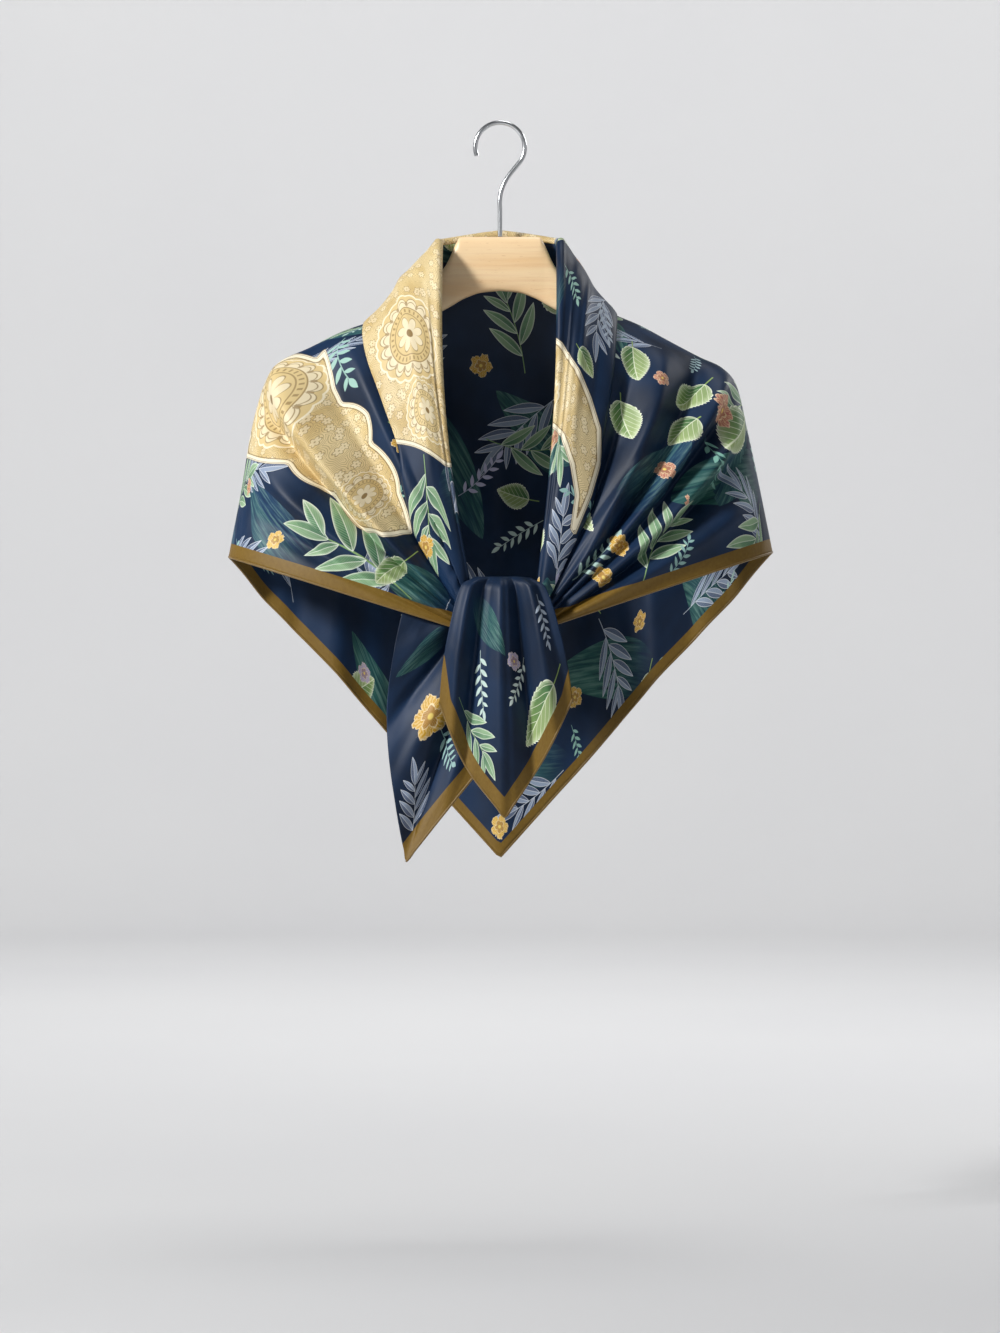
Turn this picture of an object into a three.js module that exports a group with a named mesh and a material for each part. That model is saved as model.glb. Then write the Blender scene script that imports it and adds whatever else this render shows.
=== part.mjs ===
// A silk square scarf, folded corner to corner, worn round the shoulders of a wooden hanger
// and tied in front.
// Millimetres, +Z up, the front faces -Y and +X is to the right as seen from the front.
// The origin is the inside top of the hanger's hook, where a rail carries it.
import * as THREE from "three";

// Driving dimensions
const clothWall = 1.6; // two layers of silk twill and the air between them
const seamGap = 0.4; // between neighbouring stretches of the cloth
const knotDepth = 78; // how far the tie stands in front of the hanger
const hookDrop = 95; // from the rail to the top of the wooden head
const wireRadius = 2;
const hookRadius = 21; // to the middle of the wire
const rollAtNeck = 3.5; // radius of the turned-over edge behind the neck
const rollAtKnot = 1.6;
const collarLift = 2.8; // the collar's free edge above the cloth it lies on
const collarPuff = 9; // how much its middle stands above that
const neckBowShare = 0.5; // how far from the neck's edge the bow of that edge dies out
const backHalfWidth = 230;
const tailTopWidth = 60;
const tailEndWidth = 130;
const wireFoot = 0.3; // between the head and the wire

// Finishes
const silkNavy = { color: 0x1b2a4e, roughness: 0.42, metalness: 0 };
const silkGold = { color: 0xcdb37c, roughness: 0.42, metalness: 0 };
const wood = { color: 0xe9c393, roughness: 0.5, metalness: 0 };
const steel = { color: 0xc4c6c8, roughness: 0.25, metalness: 1 };

// The cloth on each shoulder is a fan of rays. w is 0 on the neck's edge and 1 on the hem,
// and each row gives where that ray crosses the top of the shoulder or the side of the arm.
const leftRidge = [
  { w: 0, x: -49, z: -102 },
  { w: 0.06, x: -56, z: -118 },
  { w: 0.16, x: -78, z: -146 },
  { w: 0.24, x: -100, z: -163 },
  { w: 0.35, x: -136, z: -177 },
  { w: 0.43, x: -162, z: -190 },
  { w: 0.5, x: -184, z: -200 },
  { w: 0.55, x: -195, z: -211 },
  { w: 0.6, x: -203, z: -230 },
  { w: 0.7, x: -211, z: -262 },
  { w: 0.85, x: -220, z: -315 },
  { w: 1, x: -230, z: -367 },
];
const rightRidge = [
  { w: 0, x: 48, z: -101 },
  { w: 0.06, x: 54, z: -120 },
  { w: 0.15, x: 69, z: -144 },
  { w: 0.23, x: 94, z: -160 },
  { w: 0.31, x: 119, z: -171 },
  { w: 0.39, x: 145, z: -185 },
  { w: 0.47, x: 170, z: -198 },
  { w: 0.53, x: 187, z: -206 },
  { w: 0.57, x: 198, z: -217 },
  { w: 0.61, x: 203, z: -230 },
  { w: 0.69, x: 209, z: -257 },
  { w: 0.8, x: 217, z: -294 },
  { w: 1, x: 231, z: -363 },
];
// Where the same rays end: at the tie in front and on the middle of the back.
const leftTie = [
  { w: 0, x: -27, z: -390 },
  { w: 1, x: -36, z: -428 },
];
const rightTie = [
  { w: 0, x: 32.5, z: -393 },
  { w: 1, x: 42, z: -426 },
];
const spine = [
  { w: 0, y: 14, z: -96 },
  { w: 0.06, y: 25, z: -113 },
  { w: 0.15, y: 39, z: -143 },
  { w: 0.25, y: 49, z: -182 },
  { w: 0.4, y: 57, z: -245 },
  { w: 0.55, y: 61, z: -325 },
  { w: 0.75, y: 60, z: -455 },
  { w: 1, y: 54, z: -625 },
];
// The free edge of the turned-over collar: u is 0 on the shoulder and 1 at the tie.
const leftCollarEdge = [
  { u: 0, w: 0.28 },
  { u: 0.33, w: 0.312 },
  { u: 0.52, w: 0.32 },
  { u: 0.65, w: 0.338 },
  { u: 0.78, w: 0.42 },
  { u: 0.86, w: 0.5 },
  { u: 0.93, w: 0.54 },
  { u: 1, w: 0.6 },
];
const rightCollarEdge = [
  { u: 0, w: 0.24 },
  { u: 0.26, w: 0.257 },
  { u: 0.49, w: 0.29 },
  { u: 0.64, w: 0.325 },
  { u: 0.76, w: 0.388 },
  { u: 0.89, w: 0.395 },
  { u: 1, w: 0.44 },
];
// Folds that run from the shoulder to the tie: where each starts and ends, and its height outwards.
const leftFolds = [
  { shoulder: 0.34, tie: 0.36, spread: 0.035, height: 3, start: 0.1 },
  { shoulder: 0.44, tie: 0.47, spread: 0.05, height: -4, start: 0.1 },
  { shoulder: 0.53, tie: 0.66, spread: 0.055, height: 8, start: 0.05 },
  { shoulder: 0.625, tie: 0.745, spread: 0.035, height: -8, start: 0 },
  { shoulder: 0.75, tie: 0.86, spread: 0.06, height: 4, start: 0.1 },
];
const rightFolds = [
  { shoulder: 0.28, tie: 0.46, spread: 0.035, height: -5, start: 0.2 },
  { shoulder: 0.37, tie: 0.6, spread: 0.05, height: 6, start: 0.15 },
  { shoulder: 0.475, tie: 0.66, spread: 0.035, height: -9, start: 0 },
  { shoulder: 0.56, tie: 0.7, spread: 0.035, height: 6, start: 0 },
  { shoulder: 0.605, tie: 0.76, spread: 0.03, height: -4, start: 0.1 },
  { shoulder: 0.655, tie: 0.83, spread: 0.04, height: 6, start: 0.05 },
  { shoulder: 0.735, tie: 0.89, spread: 0.04, height: -5, start: 0.1 },
  { shoulder: 0.86, tie: 0.95, spread: 0.05, height: 4, start: 0.1 },
];
// Folds that hang down the back. top and hem are places across it, -1 and 1 on the shoulders.
const backFolds = [
  { top: -0.78, hem: -0.66, spread: 0.1, height: 7 },
  { top: -0.52, hem: -0.42, spread: 0.08, height: -6 },
  { top: -0.26, hem: -0.2, spread: 0.1, height: 6 },
  { top: -0.02, hem: 0, spread: 0.08, height: -4 },
  { top: 0.22, hem: 0.2, spread: 0.09, height: 6 },
  { top: 0.46, hem: 0.4, spread: 0.08, height: -6 },
  { top: 0.74, hem: 0.64, spread: 0.1, height: 6 },
];
// The two halves. bow is how far the neck's edge bends away from a straight line.
const left = {
  side: -1,
  ridge: leftRidge,
  tie: leftTie,
  collar: leftCollarEdge,
  folds: leftFolds,
  bow: 9,
};
const right = {
  side: 1,
  ridge: rightRidge,
  tie: rightTie,
  collar: rightCollarEdge,
  folds: rightFolds,
  bow: 6,
};

// The end that falls over the tie, a row for each line down it: v is 0 on its left edge.
const frontTail = [
  { v: 0, topX: -30, topZ: -387, endX: -50, endZ: -490 },
  { v: 0.24, topX: -15, topZ: -387, endX: -29, endZ: -541 },
  { v: 0.45, topX: 0, topZ: -387, endX: -2, endZ: -577 },
  { v: 0.5, topX: 3, topZ: -387, endX: 4, endZ: -584 },
  { v: 0.55, topX: 6, topZ: -387, endX: 10, endZ: -576 },
  { v: 0.76, topX: 20, topZ: -387, endX: 36, endZ: -536 },
  { v: 1, topX: 35, topZ: -388, endX: 60, endZ: -487 },
];
// Its course in depth: over the tie's top, then down in front of it. gather narrows it there.
const frontTailCourse = [
  { u: 0, along: 0, y: -71, rise: -0.7, gather: 0.7 },
  { u: 0.08, along: 0, y: -79, rise: 1.1, gather: 0.7 },
  { u: 0.16, along: 0.01, y: -88, rise: 0.2, gather: 0.8 },
  { u: 0.24, along: 0.06, y: -93, rise: 0, gather: 1 },
  { u: 0.5, along: 0.4, y: -97, rise: 0, gather: 1 },
  { u: 1, along: 1, y: -91, rise: 0, gather: 1 },
];
const frontTailFolds = [
  { top: 0.14, end: 0.14, spread: 0.07, height: 4 },
  { top: 0.3, end: 0.27, spread: 0.07, height: -6 },
  { top: 0.46, end: 0.48, spread: 0.08, height: 5 },
  { top: 0.64, end: 0.7, spread: 0.06, height: -6 },
  { top: 0.82, end: 0.86, spread: 0.07, height: 4 },
];
// The end that hangs behind it to the left, gathered under the tie and folded along its left edge.
const sideTail = [
  { v: 0, topX: -31, topZ: -408, endX: -80, endZ: -408 },
  { v: 0.14, topX: -28, topZ: -411, endX: -88, endZ: -446 },
  { v: 0.28, topX: -25, topZ: -414, endX: -94, endZ: -490 },
  { v: 0.42, topX: -21, topZ: -417, endX: -93, endZ: -530 },
  { v: 0.56, topX: -17, topZ: -420, endX: -87, endZ: -575 },
  { v: 0.68, topX: -13, topZ: -422, endX: -80, endZ: -614 },
  { v: 0.71, topX: -12, topZ: -422, endX: -78, endZ: -622 },
  { v: 0.74, topX: -11, topZ: -423, endX: -71, endZ: -613 },
  { v: 0.86, topX: -7, topZ: -425, endX: -44, endZ: -579 },
  { v: 1, topX: -2, topZ: -427, endX: -14, endZ: -542 },
];
const sideTailCourse = [
  { u: 0, along: 0, y: -69.5, rise: 0, gather: 1 },
  { u: 0.3, along: 0.24, y: -69.6, rise: 0, gather: 1 },
  { u: 0.6, along: 0.56, y: -70, rise: 0, gather: 1 },
  { u: 1, along: 1, y: -71, rise: 0, gather: 1 },
];
const sideTailFolds = [
  { top: 0.2, end: 0.16, spread: 0.08, height: 4 },
  { top: 0.36, end: 0.34, spread: 0.07, height: -5 },
  { top: 0.52, end: 0.53, spread: 0.07, height: 5 },
  { top: 0.68, end: 0.68, spread: 0.06, height: -4 },
  { top: 0.84, end: 0.85, spread: 0.07, height: 4 },
];
// The crossed and wrapped cloth of the tie itself, by height.
const tieSections = [
  { z: -388, left: -9, right: 15, depth: 3.5 },
  { z: -390, left: -17, right: 23, depth: 6 },
  { z: -397, left: -23.6, right: 29, depth: 8.5 },
  { z: -401, left: -29.2, right: 34.3, depth: 8.8 },
  { z: -409, left: -31.1, right: 36.6, depth: 9 },
  { z: -418, left: -33.2, right: 39.2, depth: 8.5 },
  { z: -425, left: -33.4, right: 38, depth: 7 },
  { z: -430, left: -16, right: 22, depth: 3.5 },
];
// The hanger from its middle to one end. thick is front to back.
const hangerSections = [
  { x: 0, top: -95, bottom: -141, thick: 14 },
  { x: 18, top: -95, bottom: -143, thick: 14 },
  { x: 33, top: -95, bottom: -149, thick: 14 },
  { x: 38, top: -102, bottom: -152, thick: 14 },
  { x: 45, top: -118, bottom: -156, thick: 15 },
  { x: 60, top: -138, bottom: -164, thick: 17 },
  { x: 85, top: -158, bottom: -178, thick: 20 },
  { x: 115, top: -172.5, bottom: -192, thick: 23 },
  { x: 150, top: -191, bottom: -211, thick: 25 },
  { x: 178, top: -206, bottom: -225, thick: 25 },
  { x: 186, top: -211.5, bottom: -223, thick: 17 },
];

// Steps along each stretch, across the collars and between one fold line and the next
const frontSteps = 18;
const backSteps = 14;
const tailSteps = 14;
const collarSteps = 12;
const stepsPerFold = 3;
const ringPoints = 16;
const wireSides = 10;
const wireSteps = 44;

const mix = (a, b, t) => a + (b - a) * t;
const even = (count) => Array.from({ length: count + 1 }, (_, i) => i / count);
const smooth = (low, high, x) => {
  const t = Math.min(1, Math.max(0, (x - low) / (high - low)));
  return t * t * (3 - 2 * t);
};

// A column of a table at any place between its rows, on a smooth curve through them.
function read(table, key, column, at) {
  const last = table.length - 1;
  let i = 0;
  while (i < last - 1 && table[i + 1][key] < at) i++;
  const slope = (j) => {
    const before = table[Math.max(0, j - 1)];
    const after = table[Math.min(last, j + 1)];
    return (after[column] - before[column]) / (after[key] - before[key]);
  };
  const span = table[i + 1][key] - table[i][key];
  const t = (at - table[i][key]) / span;
  const t2 = t * t;
  const t3 = t2 * t;
  return (
    (2 * t3 - 3 * t2 + 1) * table[i][column] +
    (t3 - 2 * t2 + t) * span * slope(i) +
    (3 * t2 - 2 * t3) * table[i + 1][column] +
    (t3 - t2) * span * slope(i + 1)
  );
}

// The side of a surface that its two directions turn towards, from its own points.
const nudge = 1e-3;
function sideOf(surface, u, v) {
  const alongU = surface(u + nudge, v).sub(surface(u - nudge, v));
  const alongV = surface(u, v + nudge).sub(surface(u, v - nudge));
  return alongU.cross(alongV).normalize();
}

// How high a fold stands at a distance from its line. size is the cloth's width there per unit of that
// distance: a fold can't stand higher than its own width allows, so folds die out where the cloth gathers.
function foldHeight(fold, distance, size) {
  const highest = (fold.spread * size) ** 2 / 3;
  const height = (fold.height * highest) / (Math.abs(fold.height) + highest);
  return height * Math.exp(-((distance / fold.spread) ** 2));
}
function allFolds(folds, heightOf) {
  return folds.reduce((sum, fold) => sum + heightOf(fold), 0);
}
// Lines across a stretch that run along its folds, each as its two ends, so that few of them hold its form.
function foldLines(folds, firstKey, lastKey, from, to) {
  const lines = [[from, from], ...folds.map((fold) => [fold[firstKey], fold[lastKey]]), [to, to]];
  const between = lines.slice(1).flatMap((line, i) =>
    even(stepsPerFold)
      .slice(0, -1)
      .map((t) => [mix(lines[i][0], line[0], t), mix(lines[i][1], line[1], t)]),
  );
  return [...between, [to, to]];
}

// How far a ray has gone at u, which is 0 on the shoulder, 1 at the tie and -1 on the spine.
const farthest = 1.1;
const angleAt = (u) => (Math.min(farthest, Math.abs(u)) * Math.PI) / 2;
const bendAt = (u) => 1 - Math.cos(angleAt(u));

// One side of the cloth without its folds.
function smoothDrape(half, u, w) {
  const bend = bendAt(u);
  const ridge = { x: read(half.ridge, "w", "x", w), z: read(half.ridge, "w", "z", w) };
  if (u < 0) {
    const depth = read(spine, "w", "y", w);
    return new THREE.Vector3(
      ridge.x * (1 - bend),
      depth * Math.sin(angleAt(u)),
      mix(ridge.z, read(spine, "w", "z", w), bend),
    );
  }
  const bow = half.bow * Math.sin(Math.PI * bend) * Math.max(0, 1 - w / neckBowShare) ** 2;
  return new THREE.Vector3(
    mix(ridge.x, read(half.tie, "w", "x", w), bend) + half.side * bow,
    -knotDepth * Math.sin(angleAt(u)),
    mix(ridge.z, read(half.tie, "w", "z", w), bend),
  );
}
// The same with its folds. across runs from -1 on one shoulder, over the back, to 1 on the other.
function frontDrape(half, u, w) {
  const plain = (a, b) => smoothDrape(half, a, b);
  const size = plain(u, w + nudge).distanceTo(plain(u, w)) / nudge;
  const height = allFolds(half.folds, (fold) => {
    const middle = mix(fold.shoulder, fold.tie, bendAt(u));
    return foldHeight(fold, w - middle, size) * smooth(fold.start, fold.start + 0.4, u);
  });
  return plain(u, w).addScaledVector(sideOf(plain, u, w), half.side * height);
}
function backDrape(across, w) {
  const half = across < 0 ? left : right;
  const plain = (a, b) => smoothDrape(half, a, b);
  const u = Math.abs(across) - 1;
  const rise = smooth(0.25, 0.8, w) * smooth(0, 0.25, -u);
  const height = allFolds(backFolds, (fold) => {
    return foldHeight(fold, across - mix(fold.top, fold.hem, w), backHalfWidth) * rise;
  });
  return plain(u, w).addScaledVector(sideOf(plain, u, w), half.side * height);
}

// The collar turns over on the neck's edge and lies back on the cloth. v is 0 where it leaves that edge.
const rollShare = 0.25;
function collar({ drape, edgeAt, facing, rollAt }, place, v) {
  const roll = rollAt(place);
  const neck = drape(place, 0);
  const edge = drape(place + nudge, 0).sub(drape(place - nudge, 0)).normalize();
  const across = drape(place, 0.02).sub(neck);
  across.addScaledVector(edge, -across.dot(edge)).normalize();
  if (v <= rollShare) {
    const turn = (Math.PI * v) / rollShare;
    return neck
      .addScaledVector(across, -seamGap - roll * Math.sin(turn))
      .addScaledVector(sideOf(drape, place, 0), facing * roll * (1 - Math.cos(turn)));
  }
  const share = (v - rollShare) / (1 - rollShare);
  const w = edgeAt(place) * share;
  const puff = collarPuff * (roll / rollAtNeck) * Math.sin(Math.PI * share);
  const lift = mix(2 * roll, collarLift, smooth(0, 1, share)) + puff;
  return drape(place, w)
    .addScaledVector(sideOf(drape, place, Math.max(w, 0.01)), facing * lift)
    .addScaledVector(across, -seamGap * (1 - share));
}
const frontCollar = (half) => ({
  drape: (u, w) => frontDrape(half, u, w),
  edgeAt: (u) => read(half.collar, "u", "w", Math.min(1, u)),
  facing: half.side,
  rollAt: (u) => mix(rollAtNeck, rollAtKnot, smooth(0.3, 1, u)),
});
const backCollar = {
  drape: backDrape,
  edgeAt: (across) => mix(leftCollarEdge[0].w, rightCollarEdge[0].w, smooth(-1, 1, across)),
  facing: 1,
  rollAt: () => rollAtNeck,
};

// A free end: u runs down it and v across it.
function tail({ lines, course, folds, bow }, u, v) {
  const along = read(course, "u", "along", u);
  const xAt = (place) => mix(read(lines, "v", "topX", place), read(lines, "v", "endX", place), along);
  const z = mix(read(lines, "v", "topZ", v), read(lines, "v", "endZ", v), along);
  const middle = xAt(0.5);
  const fromMiddle = xAt(v) + bow * Math.sin(Math.PI * along) * (2 * v - 1) - middle;
  const width = mix(tailTopWidth, tailEndWidth, along);
  const rise = smooth(0.02, 0.3, u) - 0.4 * smooth(0.7, 1, u);
  const height = allFolds(folds, (fold) => foldHeight(fold, v - mix(fold.top, fold.end, u), width) * rise);
  return new THREE.Vector3(
    middle + fromMiddle * read(course, "u", "gather", u),
    read(course, "u", "y", u) - height,
    z + read(course, "u", "rise", u),
  );
}

// A closed wall about a surface, half its thickness to each side. rows lists its rows,
// and columnsAt gives the places of its columns in one row.
function wall(name, surface, rows, columnsAt, finish) {
  const count = columnsAt(rows[0]).length;
  const points = [];
  for (const sign of [1, -1]) {
    for (const u of rows) {
      for (const v of columnsAt(u)) {
        const offset = sideOf(surface, u, v).multiplyScalar((sign * clothWall) / 2);
        points.push(...surface(u, v).add(offset).toArray());
      }
    }
  }
  const faces = [];
  const quad = (a, b, c, d) => faces.push(a, b, c, a, c, d);
  const other = rows.length * count;
  const lastRow = other - count;
  for (let i = 0; i < rows.length - 1; i++) {
    for (let j = 0; j < count - 1; j++) {
      const a = i * count + j;
      const b = a + count;
      quad(a, b, b + 1, a + 1);
      quad(a + other, a + 1 + other, b + 1 + other, b + other);
    }
    const first = i * count;
    const last = first + count - 1;
    quad(first, first + other, first + count + other, first + count);
    quad(last + count, last + count + other, last + other, last);
  }
  for (let j = 0; j < count - 1; j++) {
    const end = lastRow + j;
    quad(j + 1, j + 1 + other, j + other, j);
    quad(end, end + other, end + 1 + other, end + 1);
  }
  return solid(name, points, faces, finish);
}

// A closed solid through rings of points, each ring with as many points as the next.
function loft(name, rings, finish) {
  const count = rings[0].length;
  const points = rings.flat().flatMap((point) => point.toArray());
  const faces = [];
  for (let i = 0; i < rings.length - 1; i++) {
    for (let j = 0; j < count; j++) {
      const a = i * count + j;
      const b = i * count + ((j + 1) % count);
      faces.push(a, b, b + count, a, b + count, a + count);
    }
  }
  const last = (rings.length - 1) * count;
  for (let j = 1; j < count - 1; j++) faces.push(0, j + 1, j, last, last + j, last + j + 1);
  return solid(name, points, faces, finish);
}
// A rounded ring: exponent 2 is an ellipse, and a higher one is squarer.
// place turns the two sizes of each of its points into a point in space.
function roundedRing(halfA, halfB, exponent, place) {
  const part = (value) => Math.sign(value) * Math.abs(value) ** (2 / exponent);
  return Array.from({ length: ringPoints }, (_, i) => {
    const angle = (2 * Math.PI * i) / ringPoints;
    return place(halfA * part(Math.cos(angle)), halfB * part(Math.sin(angle)));
  });
}

function solid(name, points, faces, finish) {
  const geometry = new THREE.BufferGeometry();
  geometry.setAttribute("position", new THREE.Float32BufferAttribute(points, 3));
  geometry.setIndex(faces);
  geometry.computeVertexNormals();
  return named(name, geometry, finish);
}
function named(name, geometry, finish) {
  const mesh = new THREE.Mesh(geometry, new THREE.MeshStandardMaterial(finish));
  mesh.name = name;
  return mesh;
}

// Cloth. Front and back stretches stand half a seam's gap to each side of the shoulder's top.
const movedBy = (surface, y) => (u, v) => surface(u, v).add(new THREE.Vector3(0, y, 0));

function frontWall(name, half, finish) {
  const lines = foldLines(half.folds, "shoulder", "tie", 0, 1);
  const surface = movedBy((u, w) => frontDrape(half, u, w), -seamGap / 2);
  const columnsAt = (u) => lines.map(([shoulder, end]) => mix(shoulder, end, bendAt(u)));
  return wall(name, surface, even(frontSteps), columnsAt, finish);
}
function backWall(name, finish) {
  const lines = foldLines(backFolds, "top", "hem", -1, 1);
  const surface = movedBy((w, across) => backDrape(across, w), seamGap / 2);
  const columnsAt = (w) => lines.map(([top, hem]) => mix(top, hem, w));
  return wall(name, surface, even(backSteps), columnsAt, finish);
}
function frontCollarWall(name, half, finish) {
  const surface = movedBy((u, v) => collar(frontCollar(half), u, v), -seamGap / 2);
  return wall(name, surface, even(frontSteps), () => even(collarSteps), finish);
}
function backCollarWall(name, finish) {
  const rows = foldLines(backFolds, "top", "hem", -1, 1).map(([top]) => top);
  const surface = movedBy((across, v) => collar(backCollar, across, v), seamGap / 2);
  return wall(name, surface, rows, () => even(collarSteps), finish);
}
function tailWall(name, end, finish) {
  const lines = foldLines(end.folds, "top", "end", 0, 1);
  const columnsAt = (u) => lines.map(([top, bottom]) => mix(top, bottom, u));
  return wall(name, (u, v) => tail(end, u, v), even(tailSteps), columnsAt, finish);
}
function tie(name, finish) {
  const rings = tieSections.map((row) =>
    roundedRing((row.right - row.left) / 2, row.depth, 2.6, (a, b) => {
      return new THREE.Vector3((row.left + row.right) / 2 + a, -knotDepth + b, row.z);
    }),
  );
  return loft(name, rings.reverse(), finish);
}

// Hanger
function hangerBody(name, finish) {
  const otherHalf = hangerSections.slice(1).reverse();
  const sections = [...otherHalf.map((row) => ({ ...row, x: -row.x })), ...hangerSections];
  const rings = sections.map((row) =>
    roundedRing(row.thick / 2, (row.top - row.bottom) / 2, 3.2, (a, b) => {
      return new THREE.Vector3(row.x, a, (row.top + row.bottom) / 2 + b);
    }),
  );
  return loft(name, rings, finish);
}
// The wire rises straight out of the head, swings out to one side and comes back over the middle.
function hangerHook(name, finish) {
  const centre = wireRadius - hookRadius;
  const turnFrom = -45;
  const turnTo = 200;
  const turnStep = 24.5;
  const path = [
    new THREE.Vector3(0, 0, wireFoot - hookDrop),
    new THREE.Vector3(0, 0, centre - 2.6 * hookRadius),
    new THREE.Vector3(0, 0, centre - 2.05 * hookRadius),
    new THREE.Vector3(0.15 * hookRadius, 0, centre - 1.5 * hookRadius),
  ];
  for (let degrees = turnFrom; degrees <= turnTo; degrees += turnStep) {
    const angle = THREE.MathUtils.degToRad(degrees);
    path.push(new THREE.Vector3(hookRadius * Math.cos(angle), 0, centre + hookRadius * Math.sin(angle)));
  }
  const section = new THREE.Shape();
  section.absarc(0, 0, wireRadius, 0, 2 * Math.PI);
  const geometry = new THREE.ExtrudeGeometry(section, {
    extrudePath: new THREE.CatmullRomCurve3(path),
    steps: wireSteps,
    curveSegments: wireSides / 2,
    bevelEnabled: false,
  });
  return named(name, geometry, finish);
}

const frontEnd = { lines: frontTail, course: frontTailCourse, folds: frontTailFolds, bow: 4 };
const sideEnd = { lines: sideTail, course: sideTailCourse, folds: sideTailFolds, bow: 0 };

const scarf = new THREE.Group();
scarf.add(
  hangerBody("hanger_body", wood),
  hangerHook("hanger_hook", steel),
  backWall("back_drape", silkNavy),
  frontWall("front_left", left, silkGold),
  frontWall("front_right", right, silkNavy),
  backCollarWall("collar_back", silkGold),
  frontCollarWall("collar_left", left, silkGold),
  frontCollarWall("collar_right", right, silkNavy),
  tie("tie", silkNavy),
  tailWall("tail_front", frontEnd, silkNavy),
  tailWall("tail_side", sideEnd, silkNavy),
);

export default scarf;
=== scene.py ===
import math

import bpy
import numpy as np
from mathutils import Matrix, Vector


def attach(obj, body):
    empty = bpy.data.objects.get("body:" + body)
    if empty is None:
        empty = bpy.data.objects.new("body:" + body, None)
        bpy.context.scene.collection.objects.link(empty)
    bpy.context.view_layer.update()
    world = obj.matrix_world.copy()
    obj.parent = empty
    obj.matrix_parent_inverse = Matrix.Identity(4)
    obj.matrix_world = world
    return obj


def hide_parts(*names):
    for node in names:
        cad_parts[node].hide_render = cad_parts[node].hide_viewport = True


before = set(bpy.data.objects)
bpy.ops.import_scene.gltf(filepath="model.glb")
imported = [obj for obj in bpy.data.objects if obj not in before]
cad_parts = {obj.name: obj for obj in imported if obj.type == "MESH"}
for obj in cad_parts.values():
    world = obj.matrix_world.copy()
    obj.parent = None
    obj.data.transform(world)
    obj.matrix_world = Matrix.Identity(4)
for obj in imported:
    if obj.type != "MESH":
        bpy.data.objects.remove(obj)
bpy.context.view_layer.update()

mm = 0.001
print("frame loaded")


# Tables and curves. A table is columns of numbers, and its first column is the place along it.
def columns(names, *rows):
    return {name: np.array([row[i] for row in rows], float) for i, name in enumerate(names.split())}


def readAt(table, column, at):  # on a smooth curve through the rows
    key = next(iter(table.values()))
    values = table[column]
    last = len(key) - 1
    at = np.asarray(at, float)
    i = np.searchsorted(key[1:last], at, side="left")
    nodes = np.arange(last + 1)
    before, after = np.maximum(nodes - 1, 0), np.minimum(nodes + 1, last)
    slope = (values[after] - values[before]) / (key[after] - key[before])
    span = key[i + 1] - key[i]
    t = (at - key[i]) / span
    return (
        (2 * t**3 - 3 * t**2 + 1) * values[i]
        + (t**3 - 2 * t**2 + t) * span * slope[i]
        + (3 * t**2 - 2 * t**3) * values[i + 1]
        + (t**3 - t**2) * span * slope[i + 1]
    )


def mix(a, b, t):
    return a + (b - a) * t


def ease(low, high, x):
    t = np.clip((np.asarray(x, float) - low) / (high - low), 0, 1)
    return t * t * (3 - 2 * t)


def bell(distance, spread):
    return np.exp(-((distance / spread) ** 2))


def length(vectors):
    return np.linalg.norm(vectors, axis=-1, keepdims=True)


# The cloth, in millimetres. It hangs as a fan of rays: w is 0 on the neck's edge and 1 on the hem,
# s is -2 at the tie on the left, -1 on that shoulder, 0 on the spine, 1 and 2 on the right.
cloth = dict(
    wall=1.2,
    tieDepth=78,
    rollAtNeck=3.5,
    rollAtTie=1.6,
    edgeLift=2.8,
    puff=9,
    bowLeft=9,
    bowRight=6,
    backHalfWidth=230,
    neckRise=2.5,
)
ridge = {
    "left": columns("w x z", (0, -49, -102), (0.06, -56, -118), (0.16, -78, -146), (0.24, -100, -163),
                    (0.35, -136, -177), (0.43, -162, -190), (0.5, -184, -200), (0.55, -195, -211),
                    (0.6, -203, -230), (0.7, -211, -262), (0.85, -220, -315), (1, -230, -367)),
    "right": columns("w x z", (0, 48, -101), (0.06, 54, -120), (0.15, 69, -144), (0.23, 94, -160),
                     (0.31, 119, -171), (0.39, 145, -185), (0.47, 170, -198), (0.53, 187, -206),
                     (0.57, 198, -217), (0.61, 203, -230), (0.69, 209, -257), (0.8, 217, -294),
                     (1, 231, -363)),
}
tieEnd = {
    "left": columns("w x z", (0, -27, -390), (1, -36, -428)),
    "right": columns("w x z", (0, 32.5, -393), (1, 42, -426)),
}
spine = columns("w y z", (0, 14, -96), (0.06, 25, -113), (0.15, 39, -143), (0.25, 49, -182),
                (0.4, 57, -245), (0.55, 61, -325), (0.75, 60, -455), (1, 54, -625))
collarEdge = {
    "left": columns("u w", (0, 0.28), (0.33, 0.312), (0.52, 0.32), (0.65, 0.338), (0.78, 0.42),
                    (0.86, 0.5), (0.93, 0.54), (1, 0.6)),
    "right": columns("u w", (0, 0.24), (0.26, 0.257), (0.49, 0.29), (0.64, 0.325), (0.76, 0.388),
                     (0.89, 0.395), (1, 0.44)),
}
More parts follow.
